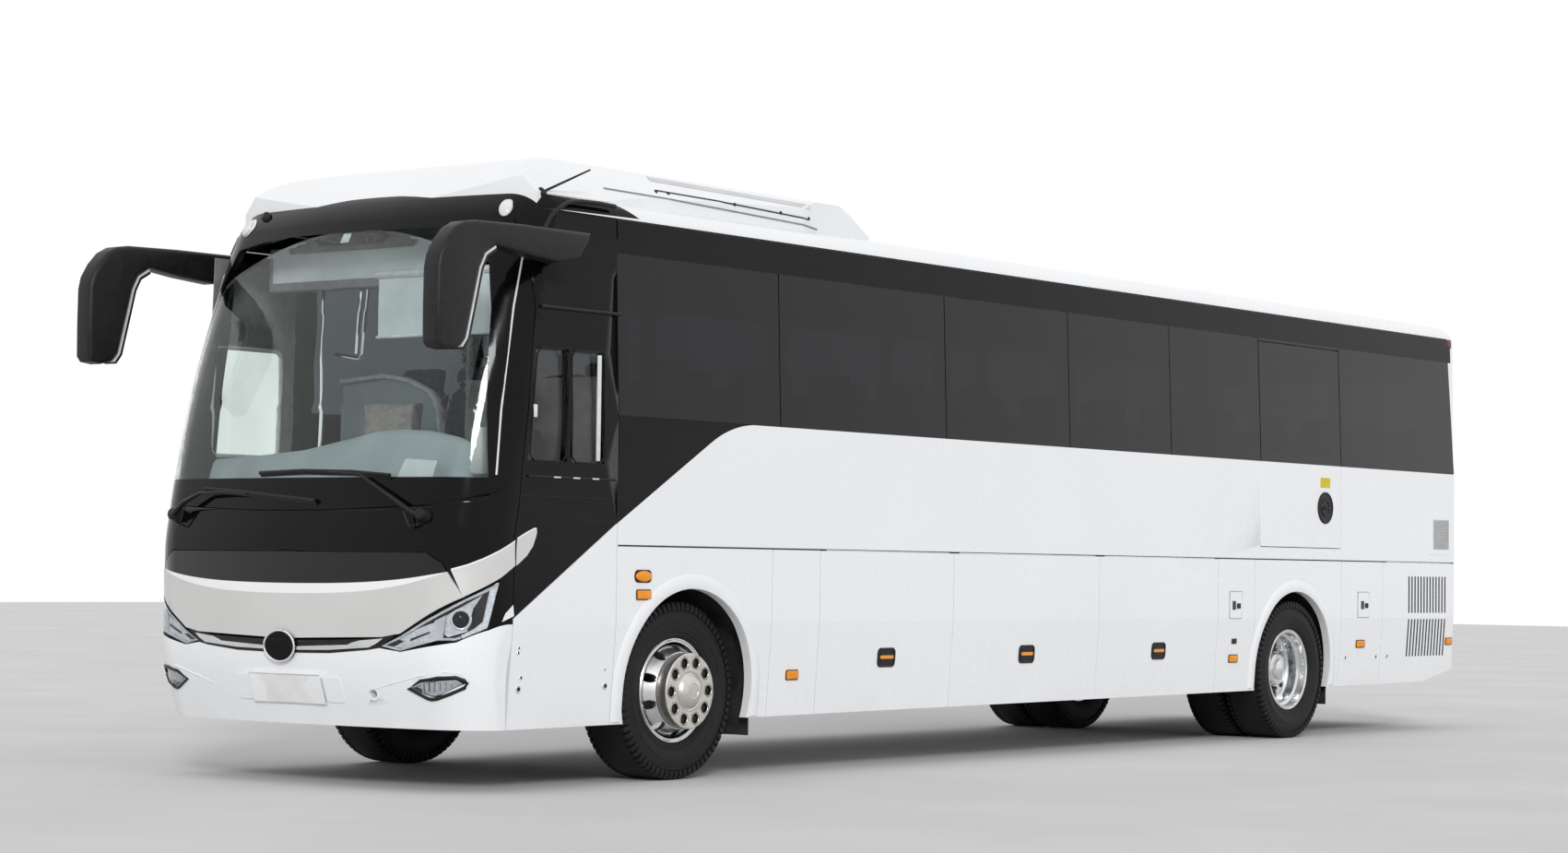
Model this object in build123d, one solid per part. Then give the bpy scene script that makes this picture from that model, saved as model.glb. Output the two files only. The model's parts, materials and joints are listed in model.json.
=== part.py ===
"""A 12 m coach bus with a high floor, through luggage bays, a rear engine and air springs.

Millimetres. X points to the bus's left side, Y to its rear, Z up. The origin is on the ground,
midway between the front of the mirrors and the rear wall.
"""

import math
import os

from build123d import *

os.makedirs("parts", exist_ok=True)

# Overall sizes
WIDTH = 2550.0
BODY_LENGTH = 12020.0
MIRROR_REACH = 300.0
FRONT_OVERHANG = 2000.0
WHEELBASE = 7210.0
HALF = WIDTH / 2
REAR = (BODY_LENGTH + MIRROR_REACH) / 2
FRONT = REAR - BODY_LENGTH
FRONT_AXLE = FRONT + FRONT_OVERHANG
REAR_AXLE = FRONT_AXLE + WHEELBASE

# Heights above the ground
SKIRT_Z = 335.0
TUCK_Z = 900.0
MOULDING_Z = 1336.0
BELT_Z = 2060.0
COVE_Z = 3170.0
ROOF_Z = 3400.0
POD_Z = 3605.0

# The side leans in above the belt and below the tuck
TUMBLE = 40.0
TUCK = 40.0
ROOF_EDGE_DROP = 160.0
ROOF_EDGE_R = 110.0
SIDE = ((SKIRT_Z, HALF - TUCK), (TUCK_Z, HALF), (BELT_Z, HALF), (COVE_Z, HALF - TUMBLE))
# The skirt rises a little to the rear, then more behind the kink
SKIRT_RISE = 45.0
TAIL_RISE = 110.0

# Wall, glass and gaps
WALL = 50.0
FLAP_T = 44.0
FRONT_FLAP_T = 8.0
LID_T = 30.0
GLASS = 8.0
SEAT = 0.3
GAP = 6.0
PANE_GAP = 8.0
HINGE_ROD_R = 2.7
HINGE_PLAY = 0.5
FRIT = 65.0

# How far a cutting shape reaches past the body, and how long the end pieces are
FAR = 400.0
SIDE_REACH = 300.0
END_LENGTH = 2400.0
END_BLANK = 2600.0

# The nose in plan: one bow and two corners
BOW_R = 5800.0
CORNER_R = 380.0
TAIL_BOW_R = 14000.0
TAIL_CORNER_R = 130.0

# Centre line of the nose from the side: height, then how far behind FRONT
NOSE = (
    (SKIRT_Z - 60, 142.0),
    (780.0, 0.0),
    (1280.0, 0.0),
    (1540.0, 35.0),
    (2080.0, 148.0),
    (2620.0, 314.0),
    (3150.0, 530.0),
    (3290.0, 660.0),
    (3420.0, 980.0),
)
# Centre line of the tail from the side: height, then how far in front of REAR
TAIL = (
    (200.0, 45.0),
    (900.0, 0.0),
    (2000.0, 0.0),
    (2700.0, 35.0),
    (3170.0, 85.0),
    (3300.0, 200.0),
    (3420.0, 460.0),
)

# Seams along the side
NOSE_SEAM = FRONT + 469.0
DOOR_SEAM = FRONT + 1324.0
ARCH_SEAM = FRONT_AXLE + 749.0
REAR_ARCH_SEAM = REAR_AXLE - 632.0
REAR_PANEL_SEAM = REAR_AXLE + 731.0
ENGINE_SEAM = REAR - 1391.0
TAIL_SEAM = REAR - 120.0
SKIRT_KINK = TAIL_SEAM - 500.0
EXIT_SEAMS = (REAR_AXLE - 549.0, REAR_AXLE + 716.0)
EXIT_Z = (1426.0, 2955.0)
# Shares of the length between the arch seams, and of the length from door seam to exit door
FLAP_SHARES = (0.0813, 0.3263, 0.6288, 0.9077)
PANE_SHARES = (0.0, 0.2025, 0.4402, 0.6409, 0.8234, 1.0)
FLAP_SEAMS = tuple(ARCH_SEAM + share * (REAR_ARCH_SEAM - ARCH_SEAM) for share in FLAP_SHARES)
PANE_SEAMS = tuple(DOOR_SEAM + share * (EXIT_SEAMS[0] - DOOR_SEAM) for share in PANE_SHARES)
# The seam between the nose and the side leans back as it rises: y, z
NOSE_SEAM_LINE = (
    (NOSE_SEAM, SKIRT_Z - 200),
    (NOSE_SEAM, MOULDING_Z),
    (NOSE_SEAM + 41, 1595.0),
    (NOSE_SEAM + 165, 2618.0),
    (NOSE_SEAM + 170, 3160.0),
)
TAIL_LEAN = 65.0
TAIL_SEAM_LINE = ((TAIL_SEAM, SKIRT_Z - 200), (TAIL_SEAM, BELT_Z), (TAIL_SEAM - TAIL_LEAN, COVE_Z))
# Fixed skirt panels on each side: first seam, last seam, wheel arch or None
FIXED_PANELS = (
    (DOOR_SEAM, ARCH_SEAM, FRONT_AXLE),
    (ARCH_SEAM, FLAP_SEAMS[0], None),
    (FLAP_SEAMS[3], REAR_ARCH_SEAM, None),
    (REAR_ARCH_SEAM, REAR_PANEL_SEAM, REAR_AXLE),
    (REAR_PANEL_SEAM, ENGINE_SEAM, None),
)
# The white area's upper front edge rises as one diagonal, then bends into the belt: y, z
DIAGONAL = ((NOSE_SEAM, 931.0), (DOOR_SEAM, 1462.0), (FRONT + 2150.0, 1940.0))
BELT_ARC = (FRONT + 2370.0, 2032.0)
BELT_BEND = (FRONT + 2640.0, BELT_Z)

# Front view of the bumper's top edge, the lamps and the front flap: x, z on the left side
BUMPER_TOP = (
    (650.0, 758.0),
    (704.0, 766.0),
    (839.0, 748.0),
    (1147.0, 805.0),
    (1249.0, 872.0),
    (1300.0, 930.0),
)
BUMPER_MIDDLE_Z = 752.0
HEADLAMP = (
    (704.0, 772.0),
    (839.0, 754.0),
    (1147.0, 811.0),
    (1246.0, 880.0),
    (1266.0, 1135.0),
    (1178.0, 1036.0),
    (838.0, 832.0),
)
FOG_LAMP = ((862.0, 552.0), (1010.0, 600.0), (1140.0, 620.0), (1172.0, 589.0), (1017.0, 504.0))
FLAP_EDGE = ((720.0, 826.0), (836.0, 846.0), (1170.0, 1046.0), (1078.0, 1223.0), (992.0, 1278.0))
FLAP_LOW_Z = 806.0
FLAP_DROP = 12.0
FLAP_HINGE_HALF = 100.0
SLOT_STRIP = ((650.0, 764.0), (690.0, 770.0), (690.0, 850.0))
SLOT_LOW_Z = 758.0
SLOT_DEPTH = 36.0
GLASS_LOW = ((329.0, 1509.0), (983.0, 1535.0), (1240.0, 1604.0), (1272.0, 1668.0), (1330.0, 1700.0))
GLASS_LOW_Z = 1506.0
# Side view of the windscreen's rear edge: y from the nose seam, z
GLASS_EDGE = ((-100.0, 1400.0), (-91.0, 1690.0), (24.0, 2892.0), (45.0, 3200.0))
MASK_FOOT_Z = 760.0
CAP_Z = 3140.0

# Towing-eye socket and number plate
TOW_X = 620.0
TOW_Z = 520.0
TOW_Y = 148.0
TOW_R = 25.0
TOW_BOSS_R = 38.0
TOW_LENGTH = 72.0
PLATE_Z = 528.0
PLATE_SIZE = (560.0, 160.0)
PLATE_PROUD = 9.0

# Side view of the cap's lower and rear edges: y from FRONT, z
CAP_TAIL = ((1530.0, 3183.0), (1300.0, 3290.0), (1060.0, 3330.0), (1060.0, 3600.0))
# Roof fairing and air-conditioning pod
POD_FRONT = FRONT + 620.0
POD_REAR = FRONT + 4700.0
POD_HALF = 1085.0
POD_NOSE_HALF = 1150.0
POD_FOOT_Z = 3200.0

# Side door, driver's panes: front edge, rear edge and lean of the front edge
DRIVER_PANES = ((FRONT + 571.0, FRONT + 888.0, 68.0), (FRONT + 934.0, FRONT + 1199.0, 0.0))
DRIVER_PANE_Z = (1787.0, 2402.0)
DRIVER_GLASS_DEPTH = 30.0
DOOR_TOP = 3050.0
DOOR_PANE_Z = ((620.0, 1500.0), (1580.0, 2960.0))
DOOR_FRAME = 90.0

# Luggage flaps: front seam, rear seam, place of the latch
LUGGAGE = tuple((y0, y1, (y0 + y1) / 2) for y0, y1 in zip(FLAP_SEAMS, FLAP_SEAMS[1:]))
LATCH_Z = 677.0
LATCH_SIZE = (104.0, 82.0)
LATCH_DEPTH = 14.0
FLAP_TOP = MOULDING_Z - GAP
HINGE_END = 60.0

# Engine doors' grilles, engine lid and the rear wall's openings: half width or x, low, high
GRILLES = ((931.0, 1223.0), (585.0, 882.0))
GRILLE_Y = (TAIL_SEAM - 836.0, TAIL_SEAM - 137.0)
SLOTS = 13
SLOT_W = 28.0
ENGINE_LID = (900.0, 640.0, 1500.0)
LID_DROP = 8.0
LID_HINGE_HALF = 160.0
LID_SLOTS = 6
LID_SLOT_HALF = 620.0
LID_SLOT_PITCH = 60.0
LID_SLOT_H = 24.0
REAR_WINDOW = (980.0, 2080.0, 2900.0)
REAR_LAMP = (1010.0, 1150.0, 900.0, 1560.0)

# Wheels: 295/80 R22.5 on 8.25 inch rims
TYRE_R = 512.0
TYRE_W = 298.0
BEAD_R = 292.0
RIM_W = 236.0
RIM_FLANGE_R = 300.0
RIM_INNER_R = 278.0
RIM_LIP = 9.0
ARCH_R = 585.0
FRONT_WHEEL_X = 1020.0
DUAL_X = 920.0
DUAL_HALF = 168.0
KINGPIN_X = 850.0
KINGPIN_R = 28.0
SPINDLE_R = 45.0
REAR_SPINDLE_R = 60.0
HUB_END = 1010.0
RUNNING = 0.4
HUB_FACE = 172.0
HUB_COVER_R = 215.0
HAND_HOLES = 10
HAND_HOLE_R = 27.0
HAND_HOLE_PITCH = 248.0
STUDS = 10
STUD_R = 17.0
STUD_PITCH = 167.5
LINER_R = 650.0
LINER_T = 8.0
LINER_X = (560.0, HALF - 20)
MUD_FLAP_Z = 170.0

# Floors, frame and engine
FLOOR_Z = 1345.0
FLOOR_T = 60.0
PLATFORM_Z = 940.0
PLATFORM_T = 40.0
DECK_Z = 470.0
DECK_T = 40.0
BULKHEAD_T = 30.0
DECK_HALF = HALF - 87.0
CROSS_HALF = 900.0
RAIL_Z = (700.0, 820.0)
RAIL_X = (390.0, 470.0)
HORN_X = 700.0
HORN_Z = (560.0, 680.0)
SPRING_R = 100.0
ENGINE_HALF = 340.0
ENGINE_Y = (REAR - 1560.0, REAR - 330.0)
ENGINE_Z = (560.0, 1230.0)

# Cab: entry well, steps, dashboard and binnacle from the side, driver's seat and wheel
WELL_X = -500.0
WELL_LOW = -1165.0
WELL_FRONT = FRONT + 540.0
STEP_X = -950.0
STEP_RUN = 220.0
STEP_Z = (380.0, 410.0, 590.0, 765.0)
DASH_X = (-1000.0, 1180.0)
DASH = (
    (FRONT, 1150.0),
    (FRONT, 1570.0),
    (FRONT + 360, 1640.0),
    (FRONT + 560, 1690.0),
    (FRONT + 640, 1600.0),
    (FRONT + 600, 1150.0),
)
BINNACLE_X = (260.0, 960.0)
BINNACLE = (
    (FRONT + 380, 1600.0),
    (FRONT + 400, 1750.0),
    (FRONT + 480, 1790.0),
    (FRONT + 600, 1710.0),
    (FRONT + 600, 1600.0),
)
PARTITION_X = (160.0, 1160.0)
PARTITION_TOP = 2280.0
POST_TOP = 2900.0
POST_R = 18.0
DRIVER_SEAT = (600.0, FRONT + 1050.0)
DRIVER_SEAT_HALF = 250.0
# Driver's seat from the side: y from its place, z above the platform
DRIVER_SEAT_SHAPE = (
    (-420.0, 330.0),
    (-420.0, 480.0),
    (20.0, 480.0),
    (90.0, 1280.0),
    (200.0, 1280.0),
    (140.0, 330.0),
)
STEERING_PLACE = (DRIVER_SEAT[0], FRONT + 740.0, 1770.0)
STEERING_LEAN = -25.0
STEERING_R = 230.0
STEERING_GRIP_R = 17.0
STEERING_LENGTH = 560.0
COLUMN_R = 38.0

# Passenger seats: rows, first and last place, and one seat from the side: y, z above the floor
SEAT_ROWS = 13
SEAT_FIRST = DOOR_SEAM + 700.0
SEAT_LAST = TAIL_SEAM - 240.0
SEAT_X = (300.0, HALF - 85.0)
SEAT_SHAPE = (
    (-480.0, 300.0),
    (-480.0, 440.0),
    (-80.0, 440.0),
    (40.0, 1120.0),
    (140.0, 1120.0),
    (20.0, 0.0),
    (-60.0, 0.0),
    (-60.0, 300.0),
)

# Mirror arm and head from the side: y from FRONT, z, and a point of the arc where there is one
MIRROR = (
    (930.0, 3035.0),
    (890.0, 2900.0),
    (620.0, 2862.0, 750.0, 2872.0),
    (240.0, 2880.0),
    (-130.0, 2790.0, -60.0, 2870.0),
    (-155.0, 2440.0),
    (-200.0, 2330.0, -160.0, 2350.0),
    (-270.0, 2330.0),
    (-MIRROR_REACH, 2400.0),
    (-MIRROR_REACH, 2760.0),
    (-60.0, 3020.0, -230.5, 2936.5),
    (160.0, 3040.0),
)
MIRROR_X = (HALF + 21.0, HALF + 145.0)
MIRROR_FOOT_X = 1180.0
MIRROR_FOOT_Y = (FRONT + 660.0, FRONT + 800.0)
MIRROR_FOOT_Z = (2900.0, 3010.0)
WIPER_X = 930.0
WIPER_Z = 1485.0
WIPER_R = 22.0
WIPER_LENGTH = 180.0

# Amber lamps: y, z, half length, half height
LAMP_PROUD = 14.0
AMBER = (
    (DOOR_SEAM + 226.0, 1164.0, 62.0, 34.0),
    (DOOR_SEAM + 226.0, 1062.0, 55.0, 26.0),
    (ARCH_SEAM + 221.0, 588.0, 50.0, 22.0),
    (FLAP_SEAMS[3] + 240.0, 610.0, 50.0, 22.0),
    (REAR_PANEL_SEAM + 327.0, 697.0, 50.0, 22.0),
)


def outline(plane, rows):
    """A face on a plane. A row is a corner x, y, or x, y and a point of the arc that leads there."""
    edges = []
    start = rows[-1][:2]
    for row in rows:
        if len(row) == 4:
            edges.append(ThreePointArc(start, row[2:], row[:2]))
        else:
            edges.append(Line(start, row))
        start = row[:2]
    face = plane * Face(Wire(edges))
    return face if face.normal_at().dot(plane.z_dir) > 0 else -face


def along_x(rows, x0, x1):
    """Rows of y, z pushed from x0 to x1."""
    return extrude(outline(Plane.YZ.offset(x0), rows), x1 - x0)


def along_y(rows, y0, y1):
    """Rows of x, z pushed from y0 to y1."""
    return extrude(outline(Plane.XZ.offset(-y0), rows), -(y1 - y0))


def along_z(rows, z0, z1):
    """Rows of x, y pushed from z0 to z1."""
    return extrude(outline(Plane.XY.offset(z0), rows), z1 - z0)


def block(x0, x1, y0, y1, z0, z1):
    """A box between two corners."""
    return Pos((x0 + x1) / 2, (y0 + y1) / 2, (z0 + z1) / 2) * Box(x1 - x0, y1 - y0, z1 - z0)


def rod_x(x0, x1, y, z, r):
    """A round bar along X."""
    return Pos((x0 + x1) / 2, y, z) * Rot(0, 90, 0) * Cylinder(r, x1 - x0)


def rod_z(x, y, z0, z1, r):
    """A round bar along Z."""
    return Pos(x, y, (z0 + z1) / 2) * Cylinder(r, z1 - z0)


def rod_y(x, z, y0, y1, r):
    """A round bar along Y."""
    return Pos(x, (y0 + y1) / 2, z) * Rot(90, 0, 0) * Cylinder(r, y1 - y0)


def turned(rows, x, y, z):
    """Rows of axial place and radius turned about a line along X."""
    face = outline(Plane.XY, rows)
    return Pos(x, y, z) * revolve(face, Axis.X)


def other_side(shape):
    """The same shape on the right side."""
    return mirror(shape, about=Plane.YZ)


def pair(shape):
    """A shape and its mirror image, as solids of one node."""
    return [shape, other_side(shape)]


NODES = {}


def keep(name, *shapes):
    """Stores the solids of a node."""
    solids = []
    for shape in shapes:
        solids.extend(shape.solids())
    NODES[name] = solids


def at_height(table, z):
    """Straight-line reading of a table of height and value."""
    for (z0, v0), (z1, v1) in zip(table, table[1:]):
        if z <= z1:
            return v0 + (v1 - v0) * (z - z0) / (z1 - z0)
    return table[-1][1]


def side_x(z):
    """Outer face of the side at a height."""
    return at_height(SIDE, z)


def skirt_z(y):
    """Lower edge of the side: it rises a little to the rear, then more behind the engine door."""
    if y <= SKIRT_KINK:
        return SKIRT_Z + SKIRT_RISE * (y - NOSE_SEAM) / (SKIRT_KINK - NOSE_SEAM)
    return SKIRT_Z + SKIRT_RISE + TAIL_RISE * (y - SKIRT_KINK) / (REAR - SKIRT_KINK)


def section(inset):
    """Cross-section of the whole body, inset from its outer face."""
    low = SKIRT_Z - 100
    top = ROOF_Z - ROOF_EDGE_DROP - inset
    x_top = side_x(COVE_Z) - 3 - inset
    rows = (
        (HALF - TUCK - inset, low),
        (HALF - TUCK - inset, SKIRT_Z),
        (HALF - inset, TUCK_Z),
        (HALF - inset, BELT_Z),
        (x_top, top),
        (-x_top, top, 0, ROOF_Z - inset),
        (inset - HALF, BELT_Z),
        (inset - HALF, TUCK_Z),
        (TUCK - HALF + inset, SKIRT_Z),
        (TUCK - HALF + inset, low),
    )
    face = outline(Plane.XZ.offset(-(FRONT - 200)), rows)
    corners = [v for v in face.vertices() if abs(v.Z - top) < 1]
    return extrude(fillet(corners, ROOF_EDGE_R - inset / 2), -(BODY_LENGTH + 400))


def plan(inset, bow, corner, end, way, far, z):
    """Plan outline of one end at a height: a bow, two round corners and straight sides."""
    w = HALF - inset
    r = bow - inset
    tip = end + way * inset
    shoulder = tip + way * (r - math.sqrt(r * r - w * w))
    rows = ((w, far), (w, shoulder), (-w, shoulder, 0, tip), (-w, far))
    face = outline(Plane.XY.offset(z), rows)
    corners = [v for v in face.vertices() if abs(v.Y - shoulder) < 1]
    return fillet(corners, corner - inset)


def nose_stack(inset):
    """The nose's plan outline pushed up in leaning steps."""
    body = None
    for (z0, d0), (z1, d1) in zip(NOSE, NOSE[1:]):
        face = plan(inset, BOW_R, CORNER_R, FRONT + d0, 1, FRONT + d0 + END_BLANK, z0)
        step = Vector(0, d1 - d0, z1 - z0)
        slab = extrude(face, step.length, dir=step.normalized())
        body = slab if body is None else body + slab
    return body


def nose(inset):
    """The solid front of the body, inset."""
    return nose_stack(inset) & section(inset)


def tail(inset):
    """The solid rear of the body, inset."""
    far = REAR - END_BLANK
    body = extrude(plan(inset, TAIL_BOW_R, TAIL_CORNER_R, REAR, -1, far, 200), 3400)
    rows = [(far, 200)] + [(REAR - d - inset, z) for z, d in TAIL] + [(far, TAIL[-1][0])]
    return body & section(inset) & along_x(rows, -HALF - 100, HALF + 100)


NOSE_OUTER = nose(0)
NOSE_INNER = nose(WALL)
NOSE_GLASS_INNER = nose(GLASS)
NOSE_FIT = nose(WALL + SEAT)
NOSE_SHELL = NOSE_OUTER - NOSE_INNER
TAIL_OUTER = tail(0)
TAIL_INNER = tail(WALL)
TAIL_SHELL = TAIL_OUTER - TAIL_INNER


def ahead_of_seam(z_top):
    """Everything in front of the nose seam, up to a height."""
    rows = [row for row in NOSE_SEAM_LINE if row[1] < z_top]
    last = at_height([(z, y) for y, z in NOSE_SEAM_LINE], z_top)
    rows = [(FRONT - FAR, SKIRT_Z - 200), *rows, (last, z_top), (FRONT - FAR, z_top)]
    return along_x(rows, -HALF - FAR, HALF + FAR)


def both_ways(rows, centre=None):
    """Closes a list of left-side points with their mirror images."""
    rows = list(rows)
    middle = [centre] if centre else []
    return [(-x, z) for x, z in reversed(rows)] + middle + rows


def front_cut(rows, wider=0.0):
    """A front-view outline pushed through the nose only."""
    face = outline(Plane.XZ.offset(-(FRONT - FAR)), rows)
    if wider:
        face = offset(face, wider, kind=Kind.INTERSECTION)
    return extrude(face, -(NOSE_SEAM + GAP - FRONT + FAR))


BUMPER_REGION = both_ways(BUMPER_TOP, (0, BUMPER_MIDDLE_Z)) + [
    (HALF + FAR, BUMPER_TOP[-1][1]),
    (HALF + FAR, 0),
    (-HALF - FAR, 0),
    (-HALF - FAR, BUMPER_TOP[-1][1]),
]
FLAP_REGION = both_ways(FLAP_EDGE, (0, FLAP_LOW_Z))


def make_front_bumper():
    """White bumper with the lamps' openings, a bare plate face and the towing-eye socket."""
    bumper = NOSE_SHELL & ahead_of_seam(MOULDING_Z) & front_cut(BUMPER_REGION)
    bumper -= block(-HALF - FAR, HALF + FAR, FRONT - FAR, DOOR_SEAM, 0, SKIRT_Z)
    for lamp in (HEADLAMP, FOG_LAMP):
        cut = front_cut(lamp, SEAT)
        bumper = bumper - cut - other_side(cut)
    boss = Pos(TOW_X, FRONT + TOW_Y, TOW_Z) * Rot(90, 0, 0) * Cylinder(TOW_BOSS_R, TOW_LENGTH)
    socket = Pos(TOW_X, FRONT + TOW_Y, TOW_Z) * Rot(90, 0, 0) * Cylinder(TOW_R, TOW_LENGTH + 100)
    lean = math.degrees(math.atan2(NOSE[0][1], NOSE[1][0] - NOSE[0][0]))
    plate_y = FRONT + at_height(NOSE, PLATE_Z)
    plate = Pos(0, plate_y, PLATE_Z) * Rot(X=lean) * Box(PLATE_SIZE[0], PLATE_PROUD * 2, PLATE_SIZE[1])
    keep("front_bumper", bumper + boss + plate - socket)


def make_lamps():
    """Head and fog lamps as lens units that follow the nose."""
    units = []
    for rows in (HEADLAMP, FOG_LAMP):
        lamp = NOSE_SHELL & front_cut(rows) & ahead_of_seam(MOULDING_Z)
        units += pair(lamp)
    keep("headlights", *units)


def make_front_flap():
    """Silver-banded service flap, hinged along its top edge."""
    flap = (NOSE_OUTER - nose(FRONT_FLAP_T)) & front_cut(FLAP_REGION)
    keep("front_flap", flap)


def windscreen_region(wider):
    """The windscreen's outline, from the front below and from the side at its edges."""
    low = both_ways(GLASS_LOW, (0, GLASS_LOW_Z)) + [(HALF + FAR, CAP_Z - 5), (-HALF - FAR, CAP_Z - 5)]
    face = outline(Plane.XZ.offset(-(FRONT - FAR)), low)
    if wider:
        face = offset(face, wider, kind=Kind.INTERSECTION)
    front = extrude(face, -1200)
    edge = NOSE_SEAM + wider
    rows = [(FRONT - FAR, 1400), *((edge + dy, z) for dy, z in GLASS_EDGE), (FRONT - FAR, 3200)]
    return front & along_x(rows, -HALF - FAR, HALF + FAR)


def make_windscreen_and_mask():
    """Clear screen in its rebate, and the black surround with the pillars."""
    keep("windscreen", (NOSE_OUTER - NOSE_GLASS_INNER) & windscreen_region(0))
    mask = NOSE_SHELL & ahead_of_seam(CAP_Z)
    mask -= block(-HALF - FAR, HALF + FAR, FRONT - FAR, DOOR_SEAM, 0, MASK_FOOT_Z)
    bumper = front_cut(BUMPER_REGION)
    lowered = [(x, z - FLAP_DROP) for x, z in FLAP_REGION]
    mask = mask - bumper - front_cut(FLAP_REGION, GAP) - front_cut(lowered)
    hinge_y, hinge_z = FRONT - 1, FLAP_EDGE[-1][1] + GAP / 2
    reach = FLAP_HINGE_HALF
    mask += rod_x(-reach, reach, hinge_y, hinge_z, HINGE_ROD_R)
    mask += block(-reach, reach, hinge_y, hinge_y + 12, hinge_z + HINGE_PLAY, hinge_z + 10)
    lamp = front_cut(HEADLAMP, SEAT)
    mask = mask - lamp - other_side(lamp)
    rebate = (NOSE_OUTER - nose(GLASS + SEAT)) & windscreen_region(3)
    mask = mask - rebate - windscreen_region(-60)
    strip = both_ways(SLOT_STRIP, (0, SLOT_LOW_Z))
    slot = (nose(SLOT_DEPTH) - NOSE_INNER) & front_cut(strip)
    keep("front_mask", mask, slot)


def cap_region(wider=0.0):
    """The black cap over the windscreen, with a tail along each side."""
    rows = [(FRONT - FAR, CAP_Z), (NOSE_SEAM + 172, CAP_Z), (NOSE_SEAM + 260, COVE_Z)]
    rows += [(FRONT + y + wider, z) for y, z in CAP_TAIL] + [(FRONT - FAR, 3600)]
    return along_x(rows, -HALF - FAR, HALF + FAR)


def make_cap_and_roof():
    """Black front cap, and the white roof with its coved sides."""
    keep("front_cap", NOSE_SHELL & cap_region())
    above = block(-HALF - FAR, HALF + FAR, FRONT, REAR + FAR, COVE_Z, 3700)
    front = (NOSE_SHELL & above) - cap_region()
    front &= block(-HALF - FAR, HALF + FAR, FRONT, FRONT + END_LENGTH, 0, 3700)
    rear = TAIL_SHELL & above & block(-HALF - FAR, HALF + FAR, REAR - END_LENGTH, REAR + FAR, 0, 3700)
    middle = (section(0) - section(WALL)) & above
    middle &= block(-HALF - FAR, HALF + FAR, FRONT + END_LENGTH, REAR - END_LENGTH, 0, 3700)
    keep("roof", front + middle + rear)


def make_pod():
    """White fairing over the cap and the air-conditioning pod behind it, seated on the roof."""
    side = (
        (POD_FRONT - 60, POD_FOOT_Z),
        (POD_FRONT - 60, POD_FOOT_Z + 20),
        (POD_FRONT + 25, 3260.0),
        (POD_FRONT + 360, 3478.0, POD_FRONT + 150, 3400.0),
        (POD_FRONT + 1350, POD_Z, POD_FRONT + 840, 3572.0),
        (POD_FRONT + 2800, POD_Z),
        (POD_FRONT + 3500, POD_Z - 80, POD_FRONT + 3160, POD_Z - 22),
        (POD_REAR + 60, 3385.0),
        (POD_REAR + 60, POD_FOOT_Z),
    )
    from_above = (
        (POD_NOSE_HALF, POD_FRONT + 700),
        (POD_HALF, POD_FRONT + 1100),
        (POD_HALF - 120, POD_FRONT + 2800),
        (POD_HALF - 285, POD_FRONT + 3290),
        (POD_HALF - 385, POD_FRONT + 3640),
        (POD_HALF - 545, POD_REAR),
        (545 - POD_HALF, POD_REAR),
        (385 - POD_HALF, POD_FRONT + 3640),
        (285 - POD_HALF, POD_FRONT + 3290),
        (120 - POD_HALF, POD_FRONT + 2800),
        (-POD_HALF, POD_FRONT + 1100),
        (-POD_NOSE_HALF, POD_FRONT + 700),
        (-POD_NOSE_HALF, POD_FRONT + 125),
        (POD_NOSE_HALF, POD_FRONT + 125, 0, POD_FRONT + 10),
    )
    across = (
        (POD_NOSE_HALF, POD_FOOT_Z),
        (POD_NOSE_HALF, 3270.0),
        (POD_HALF, 3330.0),
        (POD_HALF - 60, 3395.0),
        (POD_HALF - 190, 3505.0),
        (190 - POD_HALF, 3505.0, 0, POD_Z),
        (60 - POD_HALF, 3395.0),
        (-POD_HALF, 3330.0),
        (-POD_NOSE_HALF, 3270.0),
        (-POD_NOSE_HALF, POD_FOOT_Z),
    )
    pod = along_x(side, -HALF, HALF) & along_z(from_above, POD_FOOT_Z, POD_Z + 95)
    pod &= along_y(across, FRONT, REAR)
    pod -= NOSE_OUTER & block(-HALF, HALF, FRONT, FRONT + END_LENGTH, 3000, 3500)
    pod -= section(0) & block(-HALF, HALF, FRONT + END_LENGTH, REAR, 3000, 3500)
    keep("roof_pod", pod)


def side_blank(z0, z1, inner, outer=0.0):
    """The left side wall between two heights and two insets, from nose seam to tail seam."""
    stops = [z0] + [z for z, _ in SIDE if z0 < z < z1] + [z1]
    rows = [(side_x(z) - outer, z) for z in stops] + [(side_x(z) - inner, z) for z in reversed(stops)]
    return along_y(rows, NOSE_SEAM, TAIL_SEAM)


def side_piece(blank, rows):
    """The part of a side blank inside an outline of y, z rows."""
    return blank & along_x(rows, HALF - SIDE_REACH, HALF + 100)


def lower_rows(y0, y1, top=MOULDING_Z):
    """Outline of a skirt panel, with its lower edge on the skirt line."""
    low = [(y1, skirt_z(y1))]
    if y0 < SKIRT_KINK < y1:
        low.append((SKIRT_KINK, skirt_z(SKIRT_KINK)))
    return [(y0, skirt_z(y0)), (y0, top), (y1, top)] + low


def arch(axle):
    """Round wheel opening through a side."""
    return rod_x(HALF - SIDE_REACH, HALF + 100, axle, TYRE_R, ARCH_R)


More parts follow.
